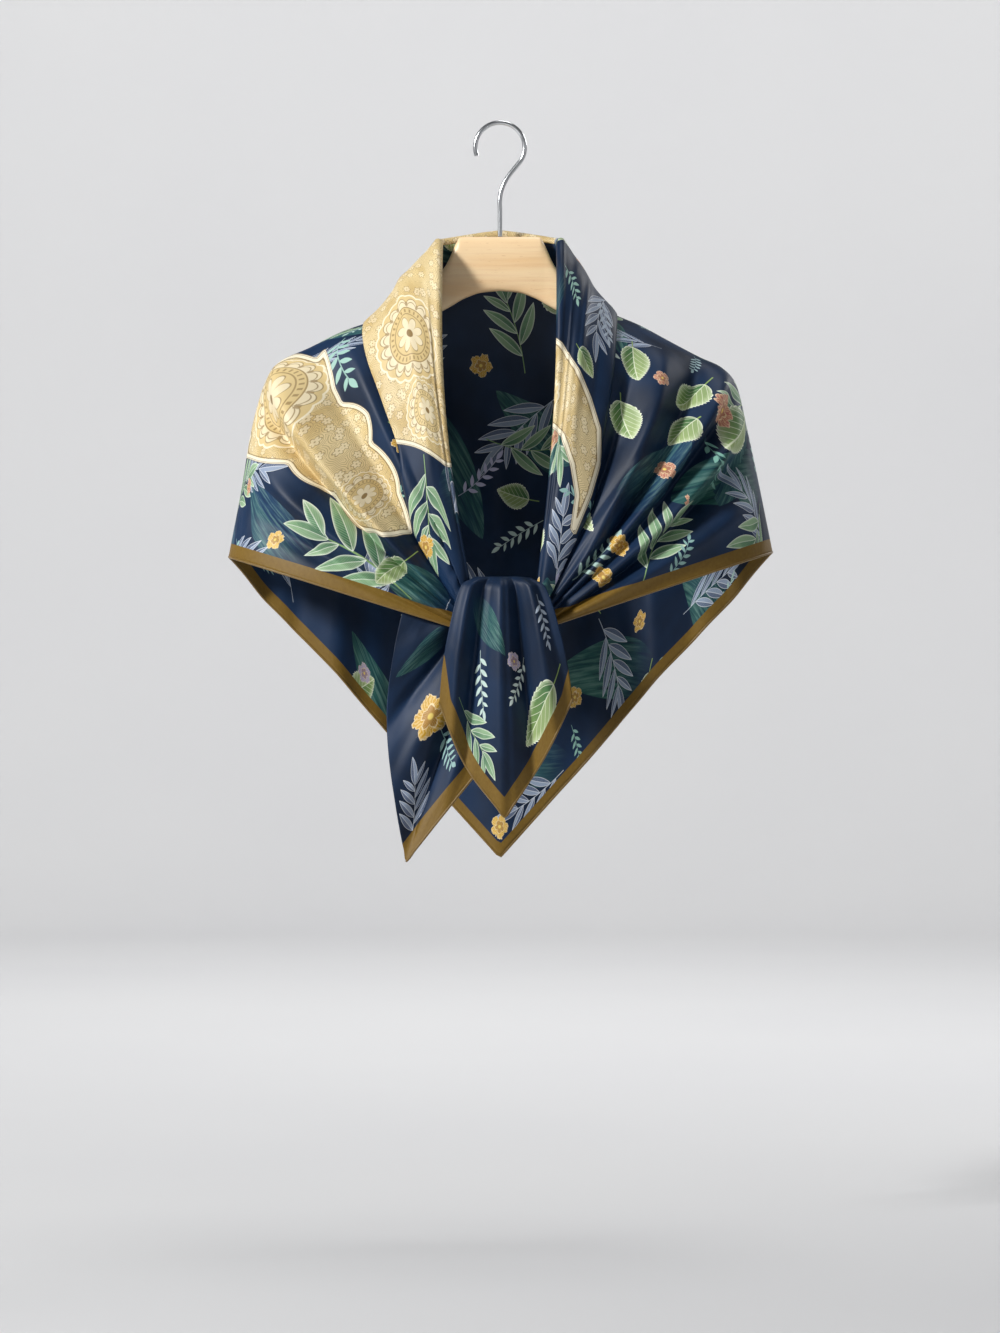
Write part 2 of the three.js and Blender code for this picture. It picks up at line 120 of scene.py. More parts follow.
# Folds from shoulder to tie. lean tips a fold over to one side, as a share of its spread.
foldColumns = "shoulder tie spread height start lean"
frontFolds = {
    "left": columns(foldColumns, (0.34, 0.36, 0.035, 5, 0.1, 0), (0.42, 0.5, 0.06, -12, 0.05, 0),
                    (0.53, 0.65, 0.052, 19, 0.0, 0.5), (0.62, 0.735, 0.038, -19, 0, 0.4),
                    (0.75, 0.85, 0.06, 11, 0.1, 0.2), (0.87, 0.92, 0.045, -8, 0.15, 0)),
    "right": columns(foldColumns, (0.3, 0.45, 0.035, -12, 0.15, 0), (0.37, 0.57, 0.05, 13, 0.1, 0.3),
                     (0.465, 0.64, 0.04, -19, 0, 0.3), (0.55, 0.7, 0.035, 14, 0, 0.2),
                     (0.605, 0.76, 0.032, -11, 0.05, 0), (0.66, 0.83, 0.042, 14, 0.02, 0.4),
                     (0.735, 0.885, 0.042, -14, 0.05, 0), (0.86, 0.95, 0.05, 9, 0.1, 0)),
}
backFolds = columns("top hem spread height", (-0.78, -0.66, 0.1, 11), (-0.52, -0.42, 0.08, -12),
                    (-0.26, -0.2, 0.09, 10), (-0.02, 0, 0.07, -9), (0.22, 0.2, 0.09, 10),
                    (0.46, 0.4, 0.07, -12), (0.74, 0.64, 0.1, 10), (-0.64, -0.55, 0.04, 3),
                    (0.34, 0.31, 0.035, -3), (0.6, 0.5, 0.04, 3), (-0.38, -0.3, 0.04, -3))
# Small creases that gather at the tie and die out on the way to the shoulder, uneven in every size.
creases = dict(seed=11, perSide=16, spread=(0.014, 0.03), height=(0.6, 2.2), reach=(0.15, 0.7))


def creaseTable(seed):
    pick = np.random.default_rng(seed)
    count = creases["perSide"]
    tie = (np.arange(count) + pick.uniform(0.2, 0.8, count)) / count
    return dict(
        tie=tie,
        shoulder=tie * 0.8 + 0.12 + pick.uniform(-0.04, 0.04, count),
        spread=pick.uniform(*creases["spread"], count),
        height=pick.uniform(*creases["height"], count) * pick.choice([-1, 1], count),
        start=pick.uniform(*creases["reach"], count),
        lean=np.zeros(count),
    )


smallFolds = {"left": creaseTable(creases["seed"]), "right": creaseTable(creases["seed"] + 1)}
farthest = 1.1  # how far past an end of a ray the surface can still be asked for


def bendOf(u):
    return 1 - np.cos(np.minimum(farthest, np.abs(u)) * math.pi / 2)


def bySide(s, tables, column, at):
    return np.where(s < 0, readAt(tables["left"], column, at), readAt(tables["right"], column, at))


def plainShawl(s, w):
    s, w = np.broadcast_arrays(np.asarray(s, float), np.asarray(w, float))
    u = np.abs(s) - 1
    angle = np.minimum(farthest, np.abs(u)) * math.pi / 2
    bend = bendOf(u)
    x, z = bySide(s, ridge, "x", w), bySide(s, ridge, "z", w)
    bow = np.where(s < 0, -cloth["bowLeft"], cloth["bowRight"])
    bow = bow * np.sin(math.pi * bend) * np.maximum(0, 1 - w / 0.5) ** 2
    front = (mix(x, bySide(s, tieEnd, "x", w), bend) + bow, -cloth["tieDepth"] * np.sin(angle),
             mix(z, bySide(s, tieEnd, "z", w), bend))
    raised = cloth["neckRise"] * (1 - ease(0, 0.12, w)) * np.sin(angle) ** 2
    back = (x * (1 - bend), readAt(spine, "y", w) * np.sin(angle),
            mix(z, readAt(spine, "z", w), bend) + raised)
    return np.stack([np.where(u < 0, b, f) for f, b in zip(front, back)], axis=-1)


nudge = 1e-3


def outward(surface, s, w):
    alongS = surface(s + nudge, w) - surface(s - nudge, w)
    alongW = surface(s, w + nudge) - surface(s, w - nudge)
    side = np.cross(alongS, alongW)
    return side / np.maximum(length(side), 1e-12)


def foldHeight(height, spread, distance, size):  # folds die out where the cloth gathers
    highest = (spread * size) ** 2 / 2.2
    shape = 0.7 * bell(distance, spread) + 0.3 * bell(distance, 0.5 * spread)
    return height * highest / (np.abs(height) + highest) * shape


def frontRelief(tables, s, w, size):
    u = np.abs(s) - 1
    total, lean = 0, 0
    for name, sign in (("left", -1), ("right", 1)):
        rows = tables[name]
        here = np.where(s * sign > 1, 1, 0)
        for i in range(len(rows["tie"])):
            distance = w - mix(rows["shoulder"][i], rows["tie"][i], bendOf(u))
            rise = here * ease(rows["start"][i], rows["start"][i] + 0.4, u)
            spread = rows["spread"][i]
            total = total + rise * foldHeight(rows["height"][i], spread, distance, size)
            lean = lean + rise * rows["lean"][i] * spread * bell(distance, spread)
    return total, lean


def collarEdgeAt(s):
    u = np.clip(np.abs(s) - 1, 0, 1)
    back = mix(collarEdge["left"]["w"][0], collarEdge["right"]["w"][0], ease(-1, 1, s))
    return np.where(np.abs(s) > 1, bySide(s, collarEdge, "w", u), back)


def shawl(s, w):
    s, w = np.broadcast_arrays(np.asarray(s, float), np.asarray(w, float))
    size = length(plainShawl(s, w + nudge) - plainShawl(s, w))[..., 0] / nudge
    large, lean = frontRelief(frontFolds, s, w, size)
    small, _ = frontRelief(smallFolds, s, w, size)
    edge = collarEdgeAt(s)
    beyondCollar = (1 - 0.5 * ease(0.93, 1, np.abs(s) - 1)) * ease(edge - 0.01, edge + 0.06, w)
    rise = ease(0.22, 0.7, w) * ease(0, 0.25, 1 - np.abs(s)) * (np.abs(s) < 1)
    behind = 0
    for top, hem, spread, height in zip(*backFolds.values()):
        distance = s - mix(top, hem, w)
        behind = behind + rise * foldHeight(height, spread, distance, cloth["backHalfWidth"])
    height = large + small * beyondCollar + behind
    return plainShawl(s, w + lean) + outward(plainShawl, s, w + lean) * height[..., None]


# The collar turns over on the neck's edge and lies back on the cloth: v is 0 where it leaves that edge.
rollShare = 0.25
# Soft folds along the collar: where across it, how wide and how high, and from which s to which
collarFolds = columns("v spread height first last", (0.42, 0.05, -1.6, -1.9, -1.1),
                      (0.62, 0.06, 1.8, -1.85, -0.7), (0.8, 0.04, -1.4, -1.7, -1.2),
                      (0.5, 0.06, -1.5, -0.6, 0.4), (0.74, 0.07, 1.6, -0.2, 0.9),
                      (0.45, 0.05, -1.6, 1.15, 1.95), (0.66, 0.05, 1.7, 1.0, 1.85),
                      (0.84, 0.04, -1.2, 1.2, 1.7))


def collar(s, v):
    s, v = np.broadcast_arrays(np.asarray(s, float), np.asarray(v, float))
    roll = mix(cloth["rollAtNeck"], cloth["rollAtTie"], ease(1.3, 2, np.abs(s)))
    neck = shawl(s, 0 * s)
    edge = shawl(s + nudge, 0 * s) - shawl(s - nudge, 0 * s)
    edge = edge / length(edge)
    across = shawl(s, 0 * s + 0.02) - neck
    across = across - edge * np.sum(across * edge, axis=-1, keepdims=True)
    across = across / length(across)
    turn = math.pi * np.minimum(v / rollShare, 1)
    rolled = neck - across * (roll * np.sin(turn))[..., None]
    rolled = rolled + outward(shawl, s, 0 * s) * (roll * (1 - np.cos(turn)))[..., None]
    share = np.clip((v - rollShare) / (1 - rollShare), 0, 1)
    w = collarEdgeAt(s) * share
    puff = cloth["puff"] * roll / cloth["rollAtNeck"] * np.sin(math.pi * share)
    lift = mix(2 * roll, cloth["edgeLift"], ease(0, 1, share)) + puff - 0.9 * ease(0.95, 1, share)
    for place, spread, height, first, last in zip(*collarFolds.values()):
        window = ease(first, first + 0.25, s) * (1 - ease(last - 0.25, last, s))
        lift = lift + height * window * bell(v - place, spread) * roll / cloth["rollAtNeck"]
    lying = shawl(s, w) + outward(shawl, s, np.maximum(w, 0.01)) * lift[..., None]
    return np.where((v <= rollShare)[..., None], rolled, lying)


# The two free ends: u runs down each and v across it
frontEnd = dict(
    lines=columns("v topX topZ endX endZ", (0, -30, -387, -50, -490), (0.24, -15, -387, -29, -541),
                  (0.45, 0, -387, -2, -577), (0.5, 3, -387, 4, -584), (0.55, 6, -387, 10, -576),
                  (0.76, 20, -387, 36, -536), (1, 35, -388, 60, -487)),
    course=columns("u along y rise gather", (0, 0, -71, -0.7, 0.7), (0.08, 0, -79, 1.1, 0.7),
                   (0.16, 0.01, -88, 0.2, 0.8), (0.24, 0.06, -93, 0, 1), (0.5, 0.4, -97, 0, 1),
                   (1, 1, -91, 0, 1)),
    folds=columns("top end spread height start", (0.12, 0.12, 0.08, 8, 0), (0.28, 0.24, 0.07, -14, 0),
                  (0.46, 0.48, 0.1, 9, 0), (0.63, 0.69, 0.055, -18, 0), (0.8, 0.85, 0.09, 9, 0),
                  (0.36, 0.33, 0.04, -2, 0), (0.54, 0.57, 0.04, 2, 0), (0.9, 0.95, 0.05, -3, 0)),
    bow=4,
    border=1.15,
    before=[(-55, -455)],
    after=[(67, -462)],
    hemFrom=0,
    flatFrom=1200,
)
sideEnd = dict(
    lines=columns("v topX topZ endX endZ", (0, -31, -408, -80, -408), (0.14, -28, -411, -88, -446),
                  (0.28, -25, -414, -94, -490), (0.42, -21, -417, -93, -530),
                  (0.56, -17, -420, -87, -575), (0.68, -13, -422, -80, -614),
                  (0.71, -12, -422, -78, -622), (0.74, -11, -423, -71, -613),
                  (0.86, -7, -425, -44, -579), (1, -2, -427, -14, -542)),
    course=columns("u along y rise gather", (0, 0, -69.5, 0, 1), (0.3, 0.24, -69.6, 0, 1),
                   (0.6, 0.56, -70, 0, 1), (1, 1, -71, 0, 1)),
    folds=columns("top end spread height start", (0.2, 0.16, 0.09, 5, 0), (0.38, 0.34, 0.08, -12, 0),
                  (0.54, 0.53, 0.08, 7, 0), (0.72, 0.68, 0.07, -10, 0), (0.86, 0.85, 0.07, 5, 0),
                  (0.28, 0.25, 0.04, -2, 0), (0.62, 0.6, 0.04, 2, 0)),
    bow=0,
    border=1,
    before=[],
    after=[],
    hemFrom=0.71,
    flatFrom=1600,
)
endWidth = dict(top=60, bottom=130)


def freeEnd(end, u, v):
    u, v = np.broadcast_arrays(np.asarray(u, float), np.asarray(v, float))
    lines, course = end["lines"], end["course"]
    along = readAt(course, "along", u)
    middle = mix(readAt(lines, "topX", 0.5), readAt(lines, "endX", 0.5), along)
    x = mix(readAt(lines, "topX", v), readAt(lines, "endX", v), along)
    x = x + end["bow"] * np.sin(math.pi * along) * (2 * v - 1)
    z = mix(readAt(lines, "topZ", v), readAt(lines, "endZ", v), along) + readAt(course, "rise", u)
    width = mix(endWidth["top"], endWidth["bottom"], along)
    height = 0
    for top, bottom, spread, high, start in zip(*end["folds"].values()):
        rise = ease(start + 0.02, start + 0.3, u) - 0.4 * ease(0.7, 1, u)
        height = height + rise * foldHeight(high, spread, v - mix(top, bottom, u), width)
    y = readAt(course, "y", u) - height
    return np.stack([middle + (x - middle) * readAt(course, "gather", u), y, z], axis=-1)


# Grids of points become closed shells. Rows run down the first direction and columns along the second.
def runAlong(grid, axis):  # the distance run so far along each row or column
    steps = length(np.diff(grid, axis=axis))[..., 0]
    start = np.zeros_like(np.take(steps, [0], axis=axis))
    return np.concatenate([start, np.cumsum(steps, axis=axis)], axis=axis)


def evenPlaces(surfaceAt, first, last, count):  # places that are equally far apart on the surface
    fine = np.linspace(first, last, 40 * count)
    run = runAlong(surfaceAt(fine), 0)
    return np.interp(np.linspace(0, run[-1], count + 1), run, fine)


def addMesh(name, points, faces, material):
    mesh = bpy.data.meshes.new(name)
    mesh.from_pydata((points * mm).tolist(), [], faces.tolist())
    mesh.materials.append(material)
    mesh.polygons.foreach_set("use_smooth", [True] * len(mesh.polygons))
    piece = bpy.data.objects.new(name, mesh)
    bpy.context.collection.objects.link(piece)
    return piece


def shellFaces(rows, count):
    i, j = np.meshgrid(np.arange(rows - 1), np.arange(count - 1), indexing="ij")
    a = (i * count + j).ravel()
    other = rows * count
    quads = [np.stack([a, a + count, a + count + 1, a + 1], 1)]
    quads.append(np.stack([a + other, a + 1 + other, a + count + 1 + other, a + count + other], 1))
    side = np.arange(rows - 1) * count
    quads.append(np.stack([side, side + other, side + count + other, side + count], 1))
    side = side + count - 1
    quads.append(np.stack([side + count, side + count + other, side + other, side], 1))
    top = np.arange(count - 1)
    quads.append(np.stack([top + 1, top + 1 + other, top + other, top], 1))
    top = top + (rows - 1) * count
    quads.append(np.stack([top, top + other, top + 1 + other, top + 1], 1))
    return np.concatenate(quads)


def shell(name, grid, wall, material, facts):
    down, over = np.gradient(grid, axis=0), np.gradient(grid, axis=1)
    side = np.cross(down, over)
    area = length(side).sum() / 1e6
    side = side / np.maximum(length(side), 1e-9)
    half = side * wall / 2
    points = np.concatenate([(grid + half).reshape(-1, 3), (grid - half).reshape(-1, 3)])
    faces = shellFaces(*grid.shape[:2])
    piece = addMesh(name, points, faces, material)
    for key, (outer, inner) in facts.items():
        values = np.concatenate([outer.ravel(), inner.ravel()])
        piece.data.attributes.new(key, "FLOAT", "POINT").data.foreach_set("value", values)
    flat = np.stack([np.concatenate([side.ravel() for side in facts[key]]) for key in ("flatX", "flatY")], 1)
    stampPrint(piece, flat, faces)
    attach(piece, "root")
    print(name, len(faces), "faces,", round(float(area), 4), "square metres")
    return piece


def tube(name, grid, material):  # rings of points around, closed at both ends
    rings, around = grid.shape[:2]
    i, j = np.meshgrid(np.arange(rings - 1), np.arange(around), indexing="ij")
    a, b = (i * around + j).ravel(), (i * around + (j + 1) % around).ravel()
    k = np.arange(around // 2 - 1)
    cap = np.stack([k, around - 1 - k, around - 2 - k, k + 1], 1)
    faces = np.concatenate([np.stack([a, b, b + around, a + around], 1), cap,
                            cap[:, ::-1] + (rings - 1) * around])
    piece = addMesh(name, grid.reshape(-1, 3), faces, material)
    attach(piece, "root")
    return piece, faces


def squircle(around, exponent):  # a rounded box's outline, as two rows of shares
    angle = np.linspace(0, 2 * math.pi, around, endpoint=False)[None, :]
    c, s = np.cos(angle), np.sin(angle)
    return [np.sign(part) * np.abs(part) ** (2 / exponent) for part in (c, s)]


# The print is drawn in the material. Each motif lies along its own bent line on the flat cloth, and each
# face of the cloth holds how far along and beside one motif's line its corners are.
def motifFrame(motifs, points):  # points (..., 2) with motifs broadcast against them
    dx, dy = points[..., 0] - motifs["x"], points[..., 1] - motifs["y"]
    c, s = np.cos(motifs["heading"]), np.sin(motifs["heading"])
    a, b = dx * c + dy * s, dy * c - dx * s
    k = motifs["bend"]
    along = np.arctan2(k * a, 1 - k * b) / k
    beside = (1 - np.sqrt((k * a) ** 2 + (1 - k * b) ** 2)) / k
    return along / motifs["size"], beside / motifs["size"]


def tryMotifs(layer, regions):
    pick = np.random.default_rng(layer["seed"])
    for low, high in regions:
        tries = int(layer["tries"] * (high[0] - low[0]) * (high[1] - low[1]) / 10000)
        for _ in range(tries):
            size, heading = pick.uniform(*layer["sizes"]), pick.uniform(0, 2 * math.pi)
            bend = pick.choice([-1, 1]) * pick.uniform(0.2, 1) * layer["bend"] / size
            yield (*pick.uniform(low, high), heading, bend, size, pick.uniform(0.02, 0.98))


def scatterMotifs(layer, regions, placed):  # the placed ones, and each tried one that has room
    kept, spots = [], np.zeros((0, 3))
    for i, values in enumerate([*placed, *tryMotifs(layer, regions)]):
        x, y, heading, bend, size, _ = values
        steps = np.linspace(0, layer["length"] * size, 6)
        turned = heading + bend * steps / 2
        reach = layer["half"] * size
        line = np.stack([x + steps * np.cos(turned), y + steps * np.sin(turned)], 1)
        gaps = np.hypot(spots[:, None, 0] - line[None, :, 0], spots[:, None, 1] - line[None, :, 1])
        if i < len(placed) or (gaps.min(1) > (spots[:, 2] + reach) * layer["crowd"]).all():
            kept.append(values)
            spots = np.concatenate([spots, np.column_stack([line, np.full(6, reach)])])
    names = ("x", "y", "heading", "bend", "size", "shade")
    return dict(zip(names, np.array(kept, float).T))


def stampPrint(piece, flat, faces):
    corners = flat[faces]
    centres = corners.mean(axis=1)
    for name, layer in printLayers.items():
        motifs = layer["motifs"]
        nearest, chosen = np.full(len(faces), 1e6), np.zeros(len(faces), int)
        for i in range(len(motifs["x"])):
            reach = (layer["length"] + layer["half"]) * motifs["size"][i] * 1.1
            near = np.abs(centres[:, 0] - motifs["x"][i]) < reach
            near = np.flatnonzero(near & (np.abs(centres[:, 1] - motifs["y"][i]) < reach))
            along, beside = motifFrame({key: motifs[key][i] for key in motifs}, centres[near])
            past = np.maximum(-along, along - layer["length"]) + layer["half"]
            gap = np.maximum(np.abs(beside), past)
            closer = gap < nearest[near]
            nearest[near[closer]], chosen[near[closer]] = gap[closer], i
        along, beside = motifFrame({key: motifs[key][chosen][:, None] for key in motifs}, corners)
        away = np.where(nearest > 1e5, 99, 0)[:, None]
        shade = np.broadcast_to(motifs["shade"][chosen][:, None], along.shape)
        values = np.stack([along - away, beside + away, shade], axis=-1).astype(np.float32)
        held = piece.data.attributes.new(name, "FLOAT_VECTOR", "CORNER")
        held.data.foreach_set("vector", values.ravel())


# Shader maths: a Value wraps a socket, and an expression on it adds its Math nodes.
class Value:
    def __init__(self, paint, socket):
        self.paint = paint
        self.socket = socket

    def math(self, operation, *others):
        inputs = {i: other for i, other in enumerate((self, *others))}
        return self.paint.node("ShaderNodeMath", dict(operation=operation), inputs)

    def __add__(self, other):
        return self.math("ADD", other)

    __radd__ = __add__

    def __mul__(self, other):
        return self.math("MULTIPLY", other)

    __rmul__ = __mul__

    def __sub__(self, other):
        return self.math("SUBTRACT", other)

    def __rsub__(self, other):
        return self * -1 + other

    def __truediv__(self, other):
        return self.math("DIVIDE", other)

    def __pow__(self, other):
        return self.math("POWER", other)

    def __abs__(self):
        return self.math("ABSOLUTE")

    def __lt__(self, other):
        return self.math("LESS_THAN", other)

    def __gt__(self, other):
        return self.math("GREATER_THAN", other)

    def low(self, other):
        return self.math("MINIMUM", other)

    def high(self, other):
        return self.math("MAXIMUM", other)

    def sine(self):
        return self.math("SINE")

    def wrap(self, step):  # from -step/2 to step/2
        return self.math("WRAP", step / 2, -step / 2)

    def mask(self, low, high):  # 0 at low and 1 at high, with soft shoulders
        settings = dict(interpolation_type="SMOOTHSTEP")
        return self.paint.node("ShaderNodeMapRange", settings, {"Value": self, 1: low, 2: high})


class Paint:
    def __init__(self, name):
        self.material = bpy.data.materials.new(name)
        self.material.use_nodes = True
        self.tree = self.material.node_tree
        self.tree.nodes.clear()

    def node(self, kind, settings=None, inputs=None, out=0):
        made = self.tree.nodes.new(kind)
        for key, value in (settings or {}).items():
            if key == "stops":
                ramp = made.color_ramp
                for place, colour in value[1:-1]:
                    ramp.elements.new(place)
                for element, (place, colour) in zip(ramp.elements, sorted(value)):
                    element.position = place
                    element.color = (*colour, 1)
            elif key == "ramp":
                made.color_ramp.interpolation = value
            else:
                setattr(made, key, value)
        for key, value in (inputs or {}).items():
            socket = made.inputs[key]
            if isinstance(value, Value):
                self.tree.links.new(value.socket, socket)
            elif isinstance(value, tuple) and len(value) == 3 and socket.type == "RGBA":
                socket.default_value = (*value, 1)
            else:
                socket.default_value = value
        return Value(self, made.outputs[out]) if len(made.outputs) else None

    def fact(self, name):  # a number kept on the mesh
        return self.node("ShaderNodeAttribute", dict(attribute_name=name), out="Fac")

    def vector(self, name):
        held = self.node("ShaderNodeAttribute", dict(attribute_name=name), out="Vector")
        parts = [self.node("ShaderNodeSeparateXYZ", {}, {0: held}, out=i) for i in range(3)]
        return parts

    def join(self, x, y, z=0.0):
        return self.node("ShaderNodeCombineXYZ", {}, {0: x, 1: y, 2: z})

    def place(self):
        return self.node("ShaderNodeTexCoord", {}, {}, out="Object")

    def spread(self, place, by):  # a vector, scaled along each axis
        return self.node("ShaderNodeMapping", {}, {"Vector": place, "Scale": by})

    def noise(self, place, scale, detail=3.0, rough=0.5):
        inputs = {"Vector": place, "Scale": scale, "Detail": detail, "Roughness": rough}
        return self.node("ShaderNodeTexNoise", {}, inputs)

    def blend(self, share, first, second):
        inputs = {0: share, 6: first, 7: second}
        return self.node("ShaderNodeMix", dict(data_type="RGBA"), inputs, out=2)

    def ramp(self, value, stops, kind="LINEAR"):
        return self.node("ShaderNodeValToRGB", dict(ramp=kind, stops=stops), {0: value})

    def bump(self, height, strength, depth, before=None):
        inputs = {"Height": height, "Strength": strength, "Distance": depth}
        if before is not None:
            inputs["Normal"] = before
        return self.node("ShaderNodeBump", {}, inputs)

    def finish(self, **sockets):
        inputs = {key.replace("_", " "): value for key, value in sockets.items()}
        shader = self.node("ShaderNodeBsdfPrincipled", {}, inputs)
        self.node("ShaderNodeOutputMaterial", {}, {"Surface": shader})
        return self.material


def hexColour(code):  # a screen colour as linear light
    parts = [int(code[i:i + 2], 16) / 255 for i in (0, 2, 4)]
    return tuple(((c + 0.055) / 1.055) ** 2.4 if c > 0.04 else c / 12.92 for c in parts)


silk = dict(
    ground=hexColour("112c4c"),
    groundDeep=hexColour("081a30"),
    border=hexColour("6a4d18"),
    borderLight=hexColour("806628"),
    borderWidth=11.5,
    gold=hexColour("dfc994"),
    goldDeep=hexColour("cbb077"),
    goldPale=hexColour("efdfb4"),
    goldLine=hexColour("8f7549"),
    brownLine=hexColour("5d4a30"),
    cream=hexColour("f0e6cb"),
    roughness=0.5,
    twill=0.9,
)


# One spray: leaves in two rows along a stem, and one at its tip. Sizes are in the print's millimetres.
def leafSpray(p, name, stem, pitch, angle, leafLength, leafHalf, stemHalf, lineGap):
    along, beside, shade = p.vector(name)
    c, s = math.cos(angle), math.sin(angle)
    rowGap = pitch * s
    y = abs(beside)
    a = along + beside.math("SIGN") * (pitch / 4)
    slant = y * c - a * s
    q = slant.wrap(rowGap)
    index = (q - slant) / rowGap
    t = (a - index * pitch) * c + y * s
    part = index * (pitch / stem)
    size = 1 - (part - 0.35) * (part - 0.35) * 1.3
    leaf = (t / (size * leafLength)).low(1.0).high(0.0)
    width = (leaf ** 0.85 * math.pi).sine() ** 0.85 * size * leafHalf
    grows = (part > 0.02) * (part < 0.9)
    inside = width - abs(q) - (1 - grows) * 20
    tip = ((along - stem * 0.86) / (leafLength * 0.95)).low(1.0).high(0.0)
    tipInside = (tip ** 0.85 * math.pi).sine() ** 0.85 * leafHalf - y
    atTip = tipInside > inside
    inside = inside.high(tipInside)
    cross = q * (1 - atTip) + beside * atTip
    down = t * (1 - atTip) + (along - stem * 0.86) * atTip
    lines = 1 - abs((down - abs(cross) * 1.7).wrap(lineGap)).mask(0.05 * lineGap, 0.3 * lineGap)
    return dict(
        fill=inside.mask(0.08, 0.3),
        rim=1 - inside.mask(0.0, 0.35 * leafHalf),
        edge=inside.mask(0.05, 0.2) * (1 - inside.mask(0.45, 0.8)),
        vein=1 - abs(cross).mask(0.1, 0.4),
        lines=lines,
        half=cross.mask(-0.5, 0.5),
        run=leaf * (1 - atTip) + tip * atTip,
        stem=(1 - y.mask(stemHalf * 0.6, stemHalf * 1.2)) * (along > 0) * (along < stem * 0.9),
        shade=shade,
    )


def singleLeaf(p, name, leafLength, leafHalf, veinGap, teeth=0.0, stalk=0.0):
    along, beside, shade = p.vector(name)
    run = (along / leafLength).low(1.0).high(0.0)
    width = (run ** 0.75 * math.pi).sine() ** 0.75 * leafHalf
    saw = (along - abs(beside) * 0.5).wrap(veinGap / 2) / (veinGap / 2) + 0.5
    inside = width - abs(beside) - saw * teeth
    lines = abs((along - abs(beside) * 1.1).wrap(veinGap))
    stroke = p.noise(p.join(along * 0.03, beside * 0.45, shade * 40), 1.0, 4.0, 0.6)
    stem = (1 - abs(beside).mask(0.35, 0.7)) * (along > -stalk) * (along < 2)
    return dict(
        fill=inside.mask(0.08, 0.35),
        rim=1 - inside.mask(0.0, leafHalf * 0.4),
        edge=inside.mask(0.05, 0.2) * (1 - inside.mask(0.5, 1.0)),
        vein=(1 - abs(beside).mask(0.2, 0.6)).high(1 - lines.mask(0.1, 0.4)),
        half=beside.mask(-0.6, 0.6),
        run=run,
        stroke=stroke,
        stem=stem,
        shade=shade,
    )


# A full blossom of two rings of petals, in one of a few colours
def flower(p, name, radius):
    along, beside, shade = p.vector(name)
    a = along - radius
    r = (a * a + beside * beside) ** 0.5
    angle = beside.math("ARCTAN2", a)
    ruffle = p.noise(p.join(along * 0.35, beside * 0.35, shade * 30), 1.0, 2.0) - 0.5
    outer = (abs((angle * 2.5).math("COSINE")) ** 0.6 * 0.3 + 0.68 + ruffle * 0.5) * radius - r
    inner = (abs((angle * 2.5 + 0.9).math("COSINE")) ** 0.7 * 0.22 + 0.34 + ruffle * 0.4) * radius - r
    stops = [(0, hexColour("c99a2c")), (0.4, hexColour("b87568")), (0.68, hexColour("d6aa45")),
             (0.86, hexColour("a49bc4"))]
    tone = p.ramp(shade, stops, "CONSTANT")
    ray = abs((angle * 14 + ruffle * 9).sine())
    tone = p.blend(ray.mask(0.55, 1) * 0.45, tone, hexColour("f2dfa8"))
    tone = p.blend(inner.mask(-0.1, 0.2) * 0.45, tone, hexColour("7d3f24"))
    tone = p.blend(inner.mask(-0.1, 0.1) * (1 - inner.mask(0.3, 0.8)) * 0.8, tone, hexColour("f3e2b4"))
    tone = p.blend(outer.mask(-0.1, 0.1) * (1 - outer.mask(0.3, 0.8)) * 0.55, tone, hexColour("f3e6c8"))
    tone = p.blend(1 - r.mask(radius * 0.1, radius * 0.18), tone, hexColour("e9cf6f"))
    return tone, outer.mask(-0.1, 0.2)


